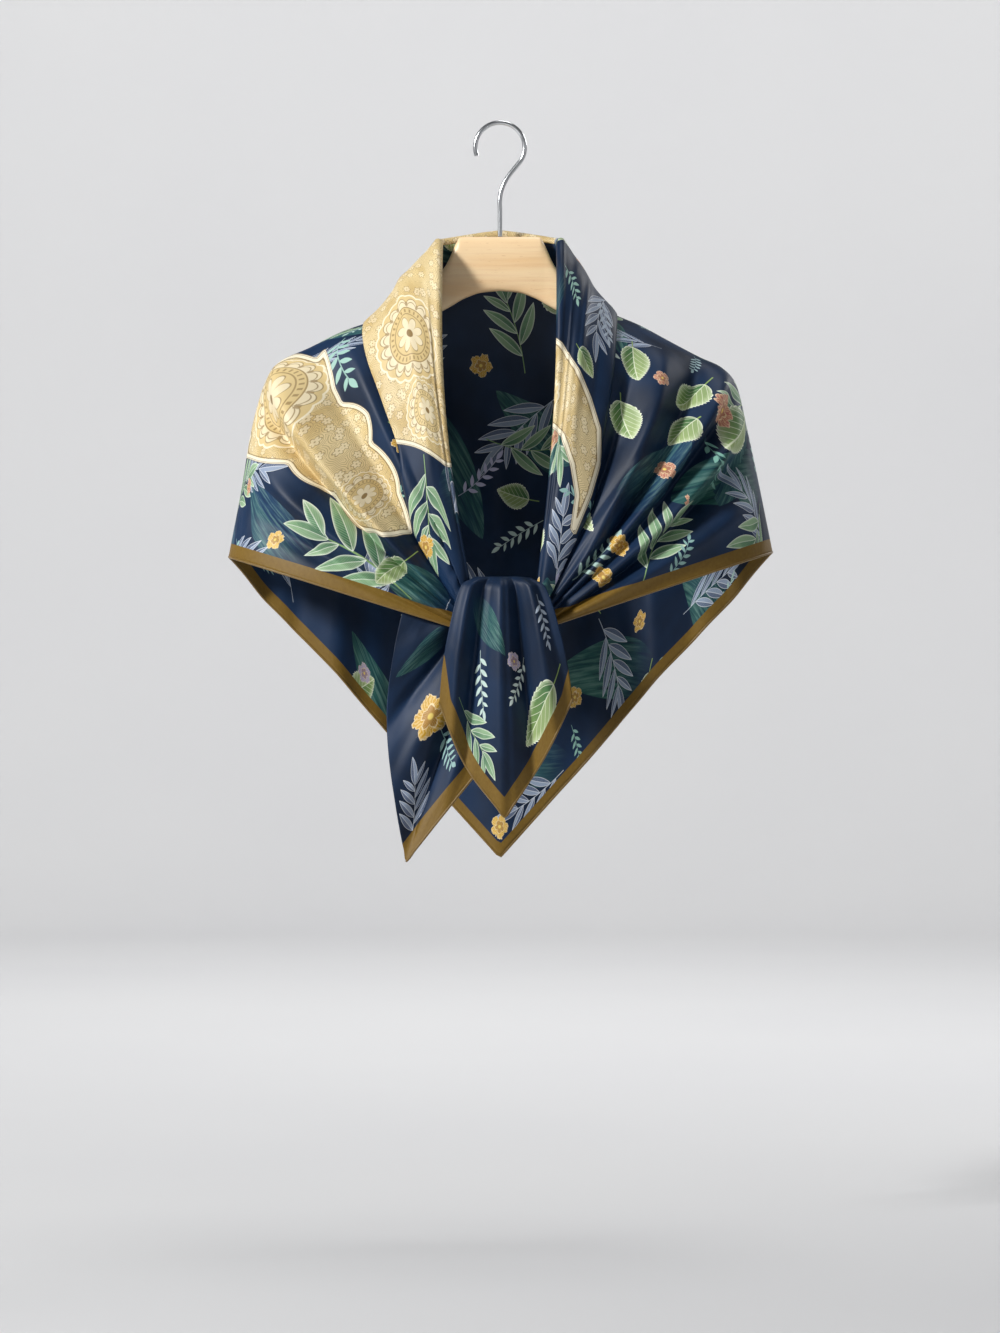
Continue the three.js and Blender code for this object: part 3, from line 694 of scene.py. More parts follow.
# Line work on gold: large ringed rosettes on a ground of scrolls, inside a cream band
def goldOrnament(p, flat, panel):
    shine = p.noise(flat, 0.03, 3.0)
    tone = p.blend(shine.mask(0.3, 0.7), silk["goldDeep"], silk["gold"])
    pale = p.noise(flat, 0.028, 1.0)
    tone = p.blend(pale.mask(0.48, 0.56) * 0.4, tone, silk["goldPale"])
    lace = dict(voronoi_dimensions="2D")
    cell = {"Vector": flat, "Scale": 0.085}
    near = p.node("ShaderNodeTexVoronoi", lace, cell)
    middle = p.node("ShaderNodeTexVoronoi", lace, cell, out="Position")
    offset = p.node("ShaderNodeVectorMath", dict(operation="SUBTRACT"), {0: flat, 1: middle})
    dx, dy = (p.node("ShaderNodeSeparateXYZ", {}, {0: offset}, out=i) for i in (0, 1))
    petal = abs((dy.math("ARCTAN2", dx) * 3).sine())
    edgeOfPetal = abs(near - petal * 0.13 - 0.2)
    tone = p.blend((1 - edgeOfPetal.mask(0.015, 0.05)) * 0.8, tone, silk["goldLine"])
    tone = p.blend((near < petal * 0.13 + 0.18) * 0.35, tone, silk["cream"])
    tone = p.blend((1 - near.mask(0.04, 0.07)) * 0.7, tone, silk["goldLine"])
    outside = near.mask(0.36, 0.38)
    curls = 1 - abs((near * 9 + pale * 6).wrap(1.0)).mask(0.05, 0.2)
    tone = p.blend(outside * curls * 0.7, tone, silk["goldLine"])
    along, beside, shade = p.vector("rosette")
    radius = rosette["radius"]
    a = along - radius
    r = (a * a + beside * beside) ** 0.5
    angle = beside.math("ARCTAN2", a)
    lobes = abs((angle * rosette["lobes"]).sine())
    arches = abs((angle * rosette["arches"]).sine()) ** 0.5 * 3.0 + 10.2
    petals = abs((angle * rosette["petals"]).sine()) ** 0.5 * 3.8 + 2.2
    disc = 1 - (r - lobes * 0.7).mask(radius - 1.2, radius - 0.9)
    tone = p.blend(disc, tone, p.blend(shade, silk["gold"], silk["goldDeep"]))
    tone = p.blend(disc * ((r < arches) * (r > 9.6)).high(r < petals) * 0.6, tone, silk["cream"])
    outer, inner = rosette["rings"]
    rings = abs(r - outer).low(abs(r - inner)).low(abs(r - petals))
    rings = rings.low(abs(r - arches)).low(abs(r - arches + 1.3))
    dots = abs((angle * rosette["dots"]).sine()).mask(0.75, 0.95) * r.mask(7.5, 7.7) * (1 - r.mask(8.7, 8.9))
    spokes = abs((angle * rosette["arches"]).math("COSINE")).mask(0.9, 0.98)
    spokes = spokes * r.mask(10.0, 10.1) * (1 - r.mask(11.6, 11.8))
    tone = p.blend(disc * (1 - rings.mask(0.1, 0.28)).high(dots).high(spokes) * 0.75, tone, silk["goldLine"])
    tone = p.blend(1 - r.mask(rosette["heart"], rosette["heart"] + 0.3), tone, silk["goldLine"])
    rim = 1 - abs(r - lobes * 0.7 - (radius - 1.1)).mask(0.2, 0.4)
    tone = p.blend(rim * 0.85, tone, silk["cream"])
    band = (panel > 0) * (1 - panel.mask(3.4, 3.7))
    tone = p.blend(band, tone, silk["cream"])
    line = (1 - abs(panel - 4.2).mask(0.2, 0.45)).high(1 - abs(panel - 1.1).mask(0.12, 0.3))
    return p.blend(line.high(1 - abs(panel).mask(0.25, 0.45)) * 0.75, tone, silk["brownLine"])


# Sizes of the motifs, in the print's millimetres
leaves = {
    "bigLeaf": dict(leafLength=118, leafHalf=21, veinGap=9),
    "broadLeaf": dict(leafLength=38, leafHalf=13.5, veinGap=5.6, teeth=1.1, stalk=12),
}
sprays = {
    "inkSpray": dict(stem=84, pitch=17, angle=0.62, leafLength=40, leafHalf=4.9, stemHalf=0.5, lineGap=1.5),
    "longSpray": dict(stem=84, pitch=23, angle=0.6, leafLength=46, leafHalf=6.2, stemHalf=0.55, lineGap=2.2),
    "fineSprig": dict(stem=47, pitch=7.4, angle=0.8, leafLength=9, leafHalf=1.7, stemHalf=0.3, lineGap=1.0),
}
blossomRadius = 10
rosette = dict(radius=15.0, rings=(9.4, 7.0), petals=4, arches=8, lobes=10, dots=14, heart=1.2)


def printedSilk():
    p = Paint("printedSilk")
    x, y = p.fact("flatX"), p.fact("flatY")
    flat = p.join(x, y)
    wash = p.noise(flat, 0.012, 3.0)
    colour = p.blend(wash.mask(0.3, 0.7), silk["groundDeep"], silk["ground"])

    big = singleLeaf(p, "bigLeaf", **leaves["bigLeaf"])
    stops = [(0, hexColour("1b4650")), (0.5, hexColour("2a5d57")), (1, hexColour("1d3f63"))]
    tone = p.ramp(big["shade"], stops)
    tone = p.blend(big["half"] * 0.3, tone, hexColour("3d7766"))
    tone = p.blend(big["stroke"].mask(0.45, 0.7) * 0.5, tone, hexColour("7fa79a"))
    fade = big["run"].mask(0.0, 0.5) * big["stroke"].mask(0.25, 0.5)
    colour = p.blend(big["fill"] * fade * 0.8, colour, tone)

    ink = leafSpray(p, "inkSpray", **sprays["inkSpray"])
    tone = p.blend(ink["half"], hexColour("8a9ab2"), hexColour("394c6e"))
    tone = p.blend(ink["lines"] * 0.5, tone, hexColour("c2ccda"))
    tone = p.blend(ink["edge"].high(ink["vein"]), tone, hexColour("dde3ea"))
    colour = p.blend((ink["fill"] * 0.9).high(ink["stem"] * 0.8), colour, tone)

    long = leafSpray(p, "longSpray", **sprays["longSpray"])
    brush = p.noise(p.join(x * 0.09, y * 0.09), 1.0, 4.0, 0.65)
    tone = p.blend(long["run"].mask(0.0, 0.9), hexColour("2a5f43"), hexColour("7fa67a"))
    tone = p.blend(brush.mask(0.4, 0.65) * 0.5, tone, hexColour("3c7256"))
    tone = p.blend(long["half"] * 0.4, tone, hexColour("a9c69c"))
    tone = p.blend(long["lines"] * 0.25, tone, hexColour("c9dcbc"))
    tone = p.blend(long["rim"] * 0.6, tone, hexColour("d9e5cd"))
    tone = p.blend(long["vein"].high(long["edge"]) * 0.7, tone, hexColour("e8efdf"))
    colour = p.blend(long["stem"], colour, hexColour("7e9f68"))
    colour = p.blend(long["fill"], colour, tone)

    sprig = leafSpray(p, "fineSprig", **sprays["fineSprig"])
    stops = [(0, hexColour("dfe8e4")), (0.5, hexColour("7fb3a4")), (1, hexColour("c7c2e0"))]
    tone = p.ramp(sprig["shade"], stops)
    colour = p.blend(sprig["fill"].high(sprig["stem"] * 0.8), colour, tone)

    broad = singleLeaf(p, "broadLeaf", **leaves["broadLeaf"])
    tone = p.blend(broad["run"], hexColour("35633f"), hexColour("87a25e"))
    tone = p.blend(brush.mask(0.45, 0.7) * 0.5, tone, hexColour("4b7a4a"))
    tone = p.blend(broad["half"] * 0.5, tone, hexColour("b4c488"))
    tone = p.blend(broad["rim"] * 0.6, tone, hexColour("d9e4bf"))
    tone = p.blend(broad["vein"] * 0.75, tone, hexColour("e9efd2"))
    tone = p.blend(broad["edge"] * 0.9, tone, hexColour("eef2e0"))
    colour = p.blend(broad["stem"], colour, hexColour("8aa55c"))
    colour = p.blend(broad["fill"], colour, tone)

    blossom, bloomMask = flower(p, "blossom", blossomRadius)
    colour = p.blend(bloomMask, colour, blossom)

    # panel is the distance in from a gold panel's edge
    panel = p.fact("panel")
    colour = p.blend(panel.mask(-0.3, 0.0), colour, goldOrnament(p, flat, panel))

    # The plain border inside the hem
    edge = p.fact("edge")
    mottle = p.noise(flat, 0.3, 4.0)
    brown = p.blend(mottle, silk["border"], silk["borderLight"])
    width = silk["borderWidth"]
    colour = p.blend(1 - edge.mask(width - 0.2, width + 0.2), colour, brown)

    # Twill lines, and faint soft rumples
    twill = ((x + y) * (2 * math.pi / silk["twill"])).sine()
    rumple = p.noise(p.spread(flat, (0.012, 0.02, 1)), 1.0, 2.0, 0.45)
    normal = p.bump(twill, 0.1, 0.00005)
    normal = p.bump(rumple, 0.35, 0.006, normal)
    rough = wash * 0.08 + (silk["roughness"] - 0.04)
    return p.finish(Base_Color=colour, Roughness=rough, Normal=normal, Specular_IOR_Level=0.28)


silkMaterial = printedSilk()
print("silk", len(silkMaterial.node_tree.nodes), "nodes")


# Gold panels. A panel is an outline of points, and the depth is how far inside it a place lies. The
# shoulder's and the collar's are seen from the front (x, z), and the back's lies on the flat cloth.
def outlineDepth(outline, x, y):
    line = np.array([*outline, outline[0]], float)
    nearest, inside = np.full(x.shape, 1e9), np.zeros(x.shape, bool)
    for (ax, ay), (bx, by) in zip(line[:-1], line[1:]):
        run = (bx - ax) ** 2 + (by - ay) ** 2
        t = np.clip(((x - ax) * (bx - ax) + (y - ay) * (by - ay)) / run, 0, 1)
        nearest = np.minimum(nearest, np.hypot(x - ax - t * (bx - ax), y - ay - t * (by - ay)))
        crosses = (ay > y) != (by > y)
        at = ax + (y - ay) / np.where(by == ay, 1e-9, by - ay) * (bx - ax)
        inside ^= crosses & (x < at)
    return np.where(inside, nearest, -nearest)


def scalloped(outline, bumps, depth):  # the same outline with a row of rounded lobes
    line = np.array([*outline, outline[0]], float)
    run = np.concatenate([[0], np.cumsum(np.hypot(*np.diff(line, axis=0).T))])
    at = np.linspace(0, run[-1], 240, endpoint=False)
    x, y = np.interp(at, run, line[:, 0]), np.interp(at, run, line[:, 1])
    middle = np.array([line[:-1, 0].mean(), line[:-1, 1].mean()])
    out = np.stack([x, y], 1) - middle
    lobe = np.abs(np.sin(math.pi * bumps * at / run[-1])) - 0.6
    return np.stack([x, y], 1) + out / np.linalg.norm(out, axis=1)[:, None] * (lobe * depth)[:, None]


shoulderPanel = [(-205, -214), (-172, -197), (-148, -190), (-140, -222), (-112, -250), (-95, -284),
                 (-78, -318), (-76, -347), (-96, -352), (-122, -338), (-152, -306), (-182, -292),
                 (-214, -282), (-222, -250)]
collarPanel = [(40, -178), (52, -190), (66, -212), (76, -236), (84, -262), (84, -290), (76, -318),
               (62, -352), (58, -346), (62, -318), (58, -292), (50, -268), (38, -256), (30, -258),
               (36, -230)]
backPanel = [(-118, 205), (-62, 168), (8, 158), (78, 172), (126, 214), (130, 272), (86, 330), (10, 356),
             (-66, 338), (-116, 284)]


farFromHem, noPanel = 99.0, 50.0


def columnPlaces(w, counts):
    front = evenPlaces(lambda s: plainShawl(s, w), 1, 2, counts["front"])
    back = evenPlaces(lambda s: plainShawl(s, w), -1, 1, counts["back"])
    return np.concatenate([-front[::-1], back[1:-1], front])


# The fronts unfold about the shoulder's line: what is seen from the front is turned over that line.
levelRow = 60  # the row that meets the back without a slip
depthShare = 0.7


def unfoldFronts(s, plain, flatX, flatY):
    for side in (-1, 1):
        ridgeAt = np.argmin(np.abs(s - side))
        chord = plain[-1, ridgeAt, [0, 2]] - plain[0, ridgeAt, [0, 2]]
        out = np.array([side * abs(chord[1]), -abs(chord[0])]) / np.hypot(*chord)
        front = s * side > 1
        moved = plain - plain[levelRow, ridgeAt]
        run = np.stack([moved[..., 0], -moved[..., 2]], -1)
        run = run - 2 * (run @ out)[..., None] * out
        run = run + np.abs(moved[..., 1])[..., None] * depthShare * out
        away = 1 - ease(0, 0.28, np.abs(s[front]) - 1)
        for flat, turned in ((flatX, run[..., 0]), (flatY, run[..., 1])):
            turned = turned + flat[levelRow, ridgeAt]
            slip = flat[:, [ridgeAt]] - turned[:, [ridgeAt]]
            flat[:, front] = turned[:, front] + slip * away


def shawlShape():
    s = columnPlaces(0.5, dict(front=92, back=120))
    w = np.concatenate([np.linspace(0, 0.24, 14, endpoint=False), np.linspace(0.24, 1, 112)])
    grid, plain = shawl(s[None, :], w[:, None]), plainShawl(s[None, :], w[:, None])
    run, down = runAlong(plain, 1), runAlong(plain, 0)
    flatX, flatY = run - run[:, [np.argmin(np.abs(s))]], down.copy()
    unfoldFronts(s, plain, flatX, flatY)
    edge = down[[-1]] - down
    inFront = np.where(s < -1, 0, -100)[None, :]
    atShoulder = outlineDepth(scalloped(shoulderPanel, 9, 9), plain[..., 0], plain[..., 2]) + inFront
    panel = np.maximum(atShoulder, outlineDepth(scalloped(backPanel, 11, 14), flatX, flatY))
    seen = np.broadcast_to(np.abs(s) > 1, flatX.shape)
    return dict(grid=grid, s=s, w=w, flatX=flatX, flatY=flatY, edge=edge, panel=panel, seen=seen)


goldEnd = dict(height=-283, slope=0.45, lobe=5, lobeWidth=14)  # the gold's lower edge on the left
deepest = 40  # the collar's gold counts as no deeper than this


def collarShape():
    s = columnPlaces(0.1, dict(front=92, back=110))
    v = np.concatenate([np.linspace(0, rollShare, 10, endpoint=False), np.linspace(rollShare, 1, 34)])
    grid = collar(s[None, :], v[:, None])
    run = runAlong(grid, 1)
    flatX = run - run[:, [np.argmin(np.abs(s))]] + 3000
    flatY = -runAlong(grid, 0)
    x, z = grid[..., 0], grid[..., 2]
    lowest = goldEnd["height"] - goldEnd["slope"] * (x + 70)
    lowest = lowest + goldEnd["lobe"] * np.abs(np.sin((x + 45) / goldEnd["lobeWidth"]))
    side = np.broadcast_to(s[None, :], x.shape)
    gold = np.where(side < -1, z - lowest, deepest)
    gold = np.where(side > 0, (0.86 - side) * 150 + 6 * np.sin(flatY / 7), gold)
    gold = np.where(side > 1, np.maximum(gold, outlineDepth(collarPanel, x, z)), gold)
    edge = np.full_like(flatX, farFromHem)
    seen = np.broadcast_to(np.abs(s) > 1, flatX.shape) & (v > rollShare * 0.8)[:, None]
    return dict(grid=grid, flatX=flatX, flatY=flatY, edge=edge, panel=np.minimum(gold, deepest), seen=seen)


def nearestLine(points, line):  # the distance of each point from a bent line
    best = np.full(points.shape[:-1], 1e9)
    for a, b in zip(line[:-1], line[1:]):
        t = np.clip(np.sum((points - a) * (b - a), axis=-1) / max(np.sum((b - a) ** 2), 1e-9), 0, 1)
        best = np.minimum(best, np.linalg.norm(points - (a + t[..., None] * (b - a)), axis=-1))
    return best


def endShape(end, rows, across):
    tip = end["lines"]["v"][np.argmin(end["lines"]["endZ"])]
    v = np.unique(np.concatenate([np.linspace(0, 1, across), [tip]]))
    grid = freeEnd(end, np.linspace(0, 1, rows)[:, None], v[None, :])
    hemLine = grid[-1, v >= end["hemFrom"]]
    seenHem = np.array([*end["before"], *hemLine[:, [0, 2]], *end["after"]])
    edge = nearestLine(grid[..., [0, 2]], seenHem) * end["border"]
    run = runAlong(grid, 1)
    flatX = end["flatFrom"] + runAlong(grid, 0)
    flatY = run - run[:, [np.argmin(np.abs(v - 0.5))]]
    panel, seen = np.full_like(flatX, -noPanel), np.ones(flatX.shape, bool)
    return dict(grid=grid, hem=hemLine, flatX=flatX, flatY=flatY, edge=edge, panel=panel, seen=seen)


shapes = dict(shawl=shawlShape(), collar=collarShape(), tailFront=endShape(frontEnd, 110, 96),
              tailSide=endShape(sideEnd, 100, 84))


# Motifs set one by one, in front or on the back: from one place to another (x, z), its bend and its shade
printLayers = {
    "bigLeaf": dict(seed=21, tries=9, sizes=(0.9, 1.3), length=120, half=23, bend=0.006, crowd=1.0),
    "inkSpray": dict(seed=5, tries=6, sizes=(0.75, 1.0), length=118, half=30, bend=0.006, crowd=1.2),
    "longSpray": dict(seed=8, tries=10, sizes=(0.8, 1.1), length=124, half=32, bend=0.007, crowd=1.15),
    "broadLeaf": dict(seed=14, tries=6, sizes=(0.8, 1.1), length=40, half=15, bend=0.008, crowd=2.8),
    "fineSprig": dict(seed=31, tries=12, sizes=(0.9, 1.4), length=58, half=10, bend=0.012, crowd=2.2),
    "blossom": dict(seed=42, tries=10, sizes=(0.8, 1.25), length=20, half=11, bend=0.0001, crowd=3.4),
    "rosette": dict(seed=3, tries=40, sizes=(0.7, 2.4), length=30, half=15, bend=0.0001, crowd=1.15),
}
placedMotifs = [
    ("shawl", "longSpray", -74, -404, -190, -338, 0.004, 0.5),
    ("shawl", "longSpray", -228, -336, -196, -286, -0.006, 0.3),
    ("shawl", "bigLeaf", -42, -420, -110, -366, 0.003, 0.3),
    ("shawl", "fineSprig", -130, -182, -104, -238, 0.01, 0.4),
    ("shawl", "fineSprig", -222, -352, -180, -366, 0.01, 0.6),
    ("shawl", "fineSprig", -92, -164, -140, -186, 0.008, 0.3),
    ("shawl", "broadLeaf", 112, -190, 118, -222, 0.006, 0.5),
    ("shawl", "broadLeaf", 172, -222, 146, -240, -0.006, 0.7),
    ("shawl", "broadLeaf", 100, -238, 112, -274, 0.006, 0.3),
    ("shawl", "broadLeaf", 166, -252, 140, -276, 0.006, 0.5),
    ("shawl", "broadLeaf", 206, -250, 186, -278, 0.004, 0.2),
    ("shawl", "blossom", 128, -214, 142, -224, 0.0001, 0.55),
    ("shawl", "blossom", 180, -240, 194, -248, 0.0001, 0.6),
    ("shawl", "blossom", 130, -292, 144, -302, 0.0001, 0.52),
    ("shawl", "blossom", 90, -358, 108, -362, 0.0001, 0.2),
    ("shawl", "blossom", 78, -380, 92, -390, 0.0001, 0.3),
    ("shawl", "rosette", -206, -240, -144, -232, 0.0001, 0.4),
    ("shawl", "rosette", -132, -312, -94, -324, 0.0001, 0.7),
    ("back", "rosette", -38, -276, 38, -276, 0.0001, 0.3),
    ("back", "rosette", -84, -318, -44, -318, 0.0001, 0.6),
    ("back", "rosette", 52, -322, 90, -318, 0.0001, 0.8),
    ("back", "rosette", -18, -356, 22, -356, 0.0001, 0.2),
    ("collar", "rosette", -104, -196, -48, -196, 0.0001, 0.5),
    ("collar", "rosette", -78, -258, -42, -258, 0.0001, 0.2),
    ("shawl", "bigLeaf", 228, -300, 138, -324, 0.004, 0.4),
    ("shawl", "bigLeaf", 216, -226, 176, -330, -0.004, 0.8),
    ("shawl", "bigLeaf", 96, -330, 160, -262, 0.003, 0.9),
    ("shawl", "inkSpray", 222, -360, 178, -288, 0.005, 0.5),
    ("shawl", "longSpray", 118, -392, 166, -316, -0.005, 0.6),
    ("shawl", "fineSprig", 60, -388, 108, -336, 0.006, 0.3),
    ("collar", "longSpray", -62, -284, -44, -392, 0.002, 0.5),
    ("collar", "fineSprig", 46, -122, 66, -168, 0.008, 0.4),
    ("collar", "fineSprig", 84, -150, 92, -204, 0.006, 0.8),
    ("collar", "inkSpray", 46, -398, 58, -300, 0.003, 0.5),
    ("collar", "broadLeaf", 66, -196, 78, -222, 0.006, 0.6),
    ("tailFront", "fineSprig", -16, -446, -10, -516, 0.004, 0.2),
    ("tailFront", "fineSprig", 20, -452, 4, -500, -0.006, 0.1),
    ("tailFront", "bigLeaf", -22, -392, 4, -452, 0.004, 0.2),
    ("tailFront", "broadLeaf", 44, -474, 20, -528, -0.006, 0.6),
    ("tailFront", "longSpray", -34, -486, -2, -560, -0.006, 0.5),
    ("tailFront", "fineSprig", 30, -400, 44, -456, 0.004, 0.8),
    ("tailFront", "blossom", 6, -452, 16, -460, 0.0001, 0.95),
    ("tailSide", "bigLeaf", -42, -432, -88, -470, 0.005, 0.2),
    ("tailSide", "blossom", -68, -494, -46, -508, 0.0001, 0.3),
    ("tailSide", "fineSprig", -50, -512, -34, -546, 0.006, 0.6),
    ("tailSide", "inkSpray", -74, -606, -74, -530, 0.004, 0.5),
]


def flatPlace(name, x, z):
    shape = shapes["shawl" if name == "back" else name]
    seen = shape["seen"] != (name == "back")
    gap = np.hypot(shape["grid"][..., 0] - x, shape["grid"][..., 2] - z) + np.where(seen, 0, 1e6)
    at = np.unravel_index(np.argmin(gap), gap.shape)
    return np.array([shape["flatX"][at], shape["flatY"][at]])


printRegions = [((-680, -300), (680, 640)), ((2400, -150), (3600, 20))]
for name, layer in printLayers.items():
    placed = []
    for piece, kind, x0, z0, x1, z1, bend, shade in placedMotifs:
        if kind == name:
            start, stop = flatPlace(piece, x0, z0), flatPlace(piece, x1, z1)
            run = np.hypot(*(stop - start))
            heading = math.atan2(*(stop - start)[::-1]) - bend * run / 2
            placed.append((*start, heading, bend, run / layer["length"], shade))
    layer["motifs"] = scatterMotifs(layer, printRegions, placed)
    print(name, len(layer["motifs"]["x"]), "motifs")


def shawlPiece(shape, hemRoll):
    flatX, plainGround = shape["flatX"], np.full_like(shape["flatX"], -noPanel)
    facts = dict(flatX=(flatX, -flatX), flatY=(shape["flatY"],) * 2, edge=(shape["edge"],) * 2,
                 panel=(shape["panel"], plainGround))
    facts = {key: (outer[::-1], inner[::-1]) for key, (outer, inner) in facts.items()}
    piece = shell("shawl", shape["grid"][::-1], cloth["wall"], silkMaterial, facts)
    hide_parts("back_drape", "front_left", "front_right")


def collarPiece(shape):
    facts = {key: (shape[key][::-1],) * 2 for key in ("flatX", "flatY", "edge", "panel")}
    piece = shell("collar", shape["grid"][::-1], cloth["wall"], silkMaterial, facts)
    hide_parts("collar_back", "collar_left", "collar_right")


def endPiece(name, shape, node, hemRoll):
    facts = {key: (shape[key],) * 2 for key in ("flatX", "flatY", "edge", "panel")}
    piece = shell(name, shape["grid"], cloth["wall"], silkMaterial, facts)
    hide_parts(node)


# The tie: cloth wrapped round, its turns as slanting ridges
tieForm = dict(rings=44, around=96, turns=3.2, relief=0.06, exponent=2.6)
tieSections = columns("z left right depth", (-430, -16, 22, 3.5), (-425, -33.4, 38, 7),
                      (-418, -33.2, 39.2, 8.5), (-409, -31.1, 36.6, 9), (-401, -29.2, 34.3, 8.8),
                      (-397, -23.6, 29, 8.5), (-390, -17, 23, 6), (-388, -9, 15, 3.5))


def tiePiece():
    z = np.linspace(tieSections["z"][0], tieSections["z"][-1], tieForm["rings"])[:, None]
    across, forward = squircle(tieForm["around"], tieForm["exponent"])
    low, high = readAt(tieSections, "left", z), readAt(tieSections, "right", z)
    turns = np.sin(tieForm["turns"] * ((z + 430) / 7 + 1.6 * forward))
    swell = 1 - tieForm["relief"] * (0.5 - 0.5 * turns)
    x = (low + high) / 2 + (high - low) / 2 * across * swell
    y = -cloth["tieDepth"] + (readAt(tieSections, "depth", z) - 0.3) * forward * swell
    grid = np.stack([x, y, np.broadcast_to(z, x.shape)], axis=-1)
    piece, faces = tube("tieWrap", grid, silkMaterial)
    x, y, z = grid.reshape(-1, 3).T
    facts = dict(flatX=x * 1.3 + 400, flatY=z * 1.3 + y, edge=0 * x + farFromHem, panel=0 * x - noPanel)
    for key, values in facts.items():
        piece.data.attributes.new(key, "FLOAT", "POINT").data.foreach_set("value", values)
    stampPrint(piece, np.stack([facts["flatX"], facts["flatY"]], 1), faces)
    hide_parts("tie")


# Rolled hems: a thin roll of cloth along each raw edge, held by small slanting stitches
hem = dict(radius=1.1, stitchEvery=5.5, stitchLength=1.5, stitchRadius=0.28, sides=8, seed=4,
           beadSegments=6, beadRings=4, slant=(0.5, 0.8))


def hemMaterial():
    p = Paint("hemSilk")
    place = p.place()
    tone = p.noise(place, 400.0, 4.0)
    colour = p.blend(tone, silk["border"], silk["borderLight"])
    normal = p.bump(p.noise(place, 900.0, 3.0), 0.3, 0.0004)
    return p.finish(Base_Color=colour, Roughness=0.42 + tone * 0.1, Normal=normal, Sheen_Weight=0.1)


def hemTree(material):
    tree = bpy.data.node_groups.new("rolledHem", "GeometryNodeTree")
    sockets = {}
    tree.interface.new_socket("Geometry", in_out="OUTPUT", socket_type="NodeSocketGeometry")
    sockets["Path"] = tree.interface.new_socket("Path", in_out="INPUT", socket_type="NodeSocketGeometry")
    for name in ("Roll radius", "Stitch spacing", "Stitch length", "Stitch radius"):
        sockets[name] = tree.interface.new_socket(name, in_out="INPUT", socket_type="NodeSocketFloat")
    sockets["Seed"] = tree.interface.new_socket("Seed", in_out="INPUT", socket_type="NodeSocketInt")
    new, link = tree.nodes.new, tree.links.new
    start, end = new("NodeGroupInput"), new("NodeGroupOutput")
    curve = new("GeometryNodeMeshToCurve")
    link(start.outputs["Path"], curve.inputs["Mesh"])
    profile = new("GeometryNodeCurvePrimitiveCircle")
    profile.inputs["Resolution"].default_value = hem["sides"]
    link(start.outputs["Roll radius"], profile.inputs["Radius"])
    roll = new("GeometryNodeCurveToMesh")
    roll.inputs["Fill Caps"].default_value = True
    link(curve.outputs["Curve"], roll.inputs["Curve"])
    link(profile.outputs["Curve"], roll.inputs["Profile Curve"])
    spaced = new("GeometryNodeResampleCurve")
    spaced.mode = "LENGTH"
    link(curve.outputs["Curve"], spaced.inputs["Curve"])
    link(start.outputs["Stitch spacing"], spaced.inputs["Length"])
    bead = new("GeometryNodeMeshUVSphere")
    bead.inputs["Segments"].default_value = hem["beadSegments"]
    bead.inputs["Rings"].default_value = hem["beadRings"]
    bead.inputs["Radius"].default_value = 1.0
    shape = new("ShaderNodeCombineXYZ")
    link(start.outputs["Stitch radius"], shape.inputs["X"])
    wide = new("ShaderNodeMath")
    wide.operation = "MULTIPLY_ADD"
    wide.inputs[1].default_value = 1.0
    link(start.outputs["Roll radius"], wide.inputs[0])
    link(start.outputs["Stitch radius"], wide.inputs[2])
    link(wide.outputs[0], shape.inputs["Y"])
    link(start.outputs["Stitch length"], shape.inputs["Z"])
    tangent = new("GeometryNodeInputTangent")
    turn = new("FunctionNodeAlignRotationToVector")
    turn.axis = "Z"
    link(tangent.outputs["Tangent"], turn.inputs["Vector"])
    chance = new("FunctionNodeRandomValue")
    chance.data_type = "FLOAT"
    chance.inputs[2].default_value, chance.inputs[3].default_value = hem["slant"]
    link(start.outputs["Seed"], chance.inputs["Seed"])
    slant = new("FunctionNodeAxisAngleToRotation")
    slant.inputs["Axis"].default_value = (0, 1, 0)
    link(chance.outputs[1], slant.inputs["Angle"])
    tilted = new("FunctionNodeRotateRotation")
    tilted.rotation_space = "LOCAL"
    link(turn.outputs["Rotation"], tilted.inputs["Rotation"])
    link(slant.outputs["Rotation"], tilted.inputs["Rotate By"])
    stitches = new("GeometryNodeInstanceOnPoints")
    link(spaced.outputs["Curve"], stitches.inputs["Points"])
    link(bead.outputs["Mesh"], stitches.inputs["Instance"])
    link(tilted.outputs["Rotation"], stitches.inputs["Rotation"])
    link(shape.outputs["Vector"], stitches.inputs["Scale"])
    both = new("GeometryNodeJoinGeometry")
    link(stitches.outputs["Instances"], both.inputs["Geometry"])
    link(roll.outputs["Mesh"], both.inputs["Geometry"])
    real = new("GeometryNodeRealizeInstances")
    link(both.outputs["Geometry"], real.inputs["Geometry"])
    paint = new("GeometryNodeSetMaterial")
    paint.inputs["Material"].default_value = material
    link(real.outputs["Geometry"], paint.inputs["Geometry"])
    link(paint.outputs["Geometry"], end.inputs["Geometry"])
    return tree, {name: socket.identifier for name, socket in sockets.items()}


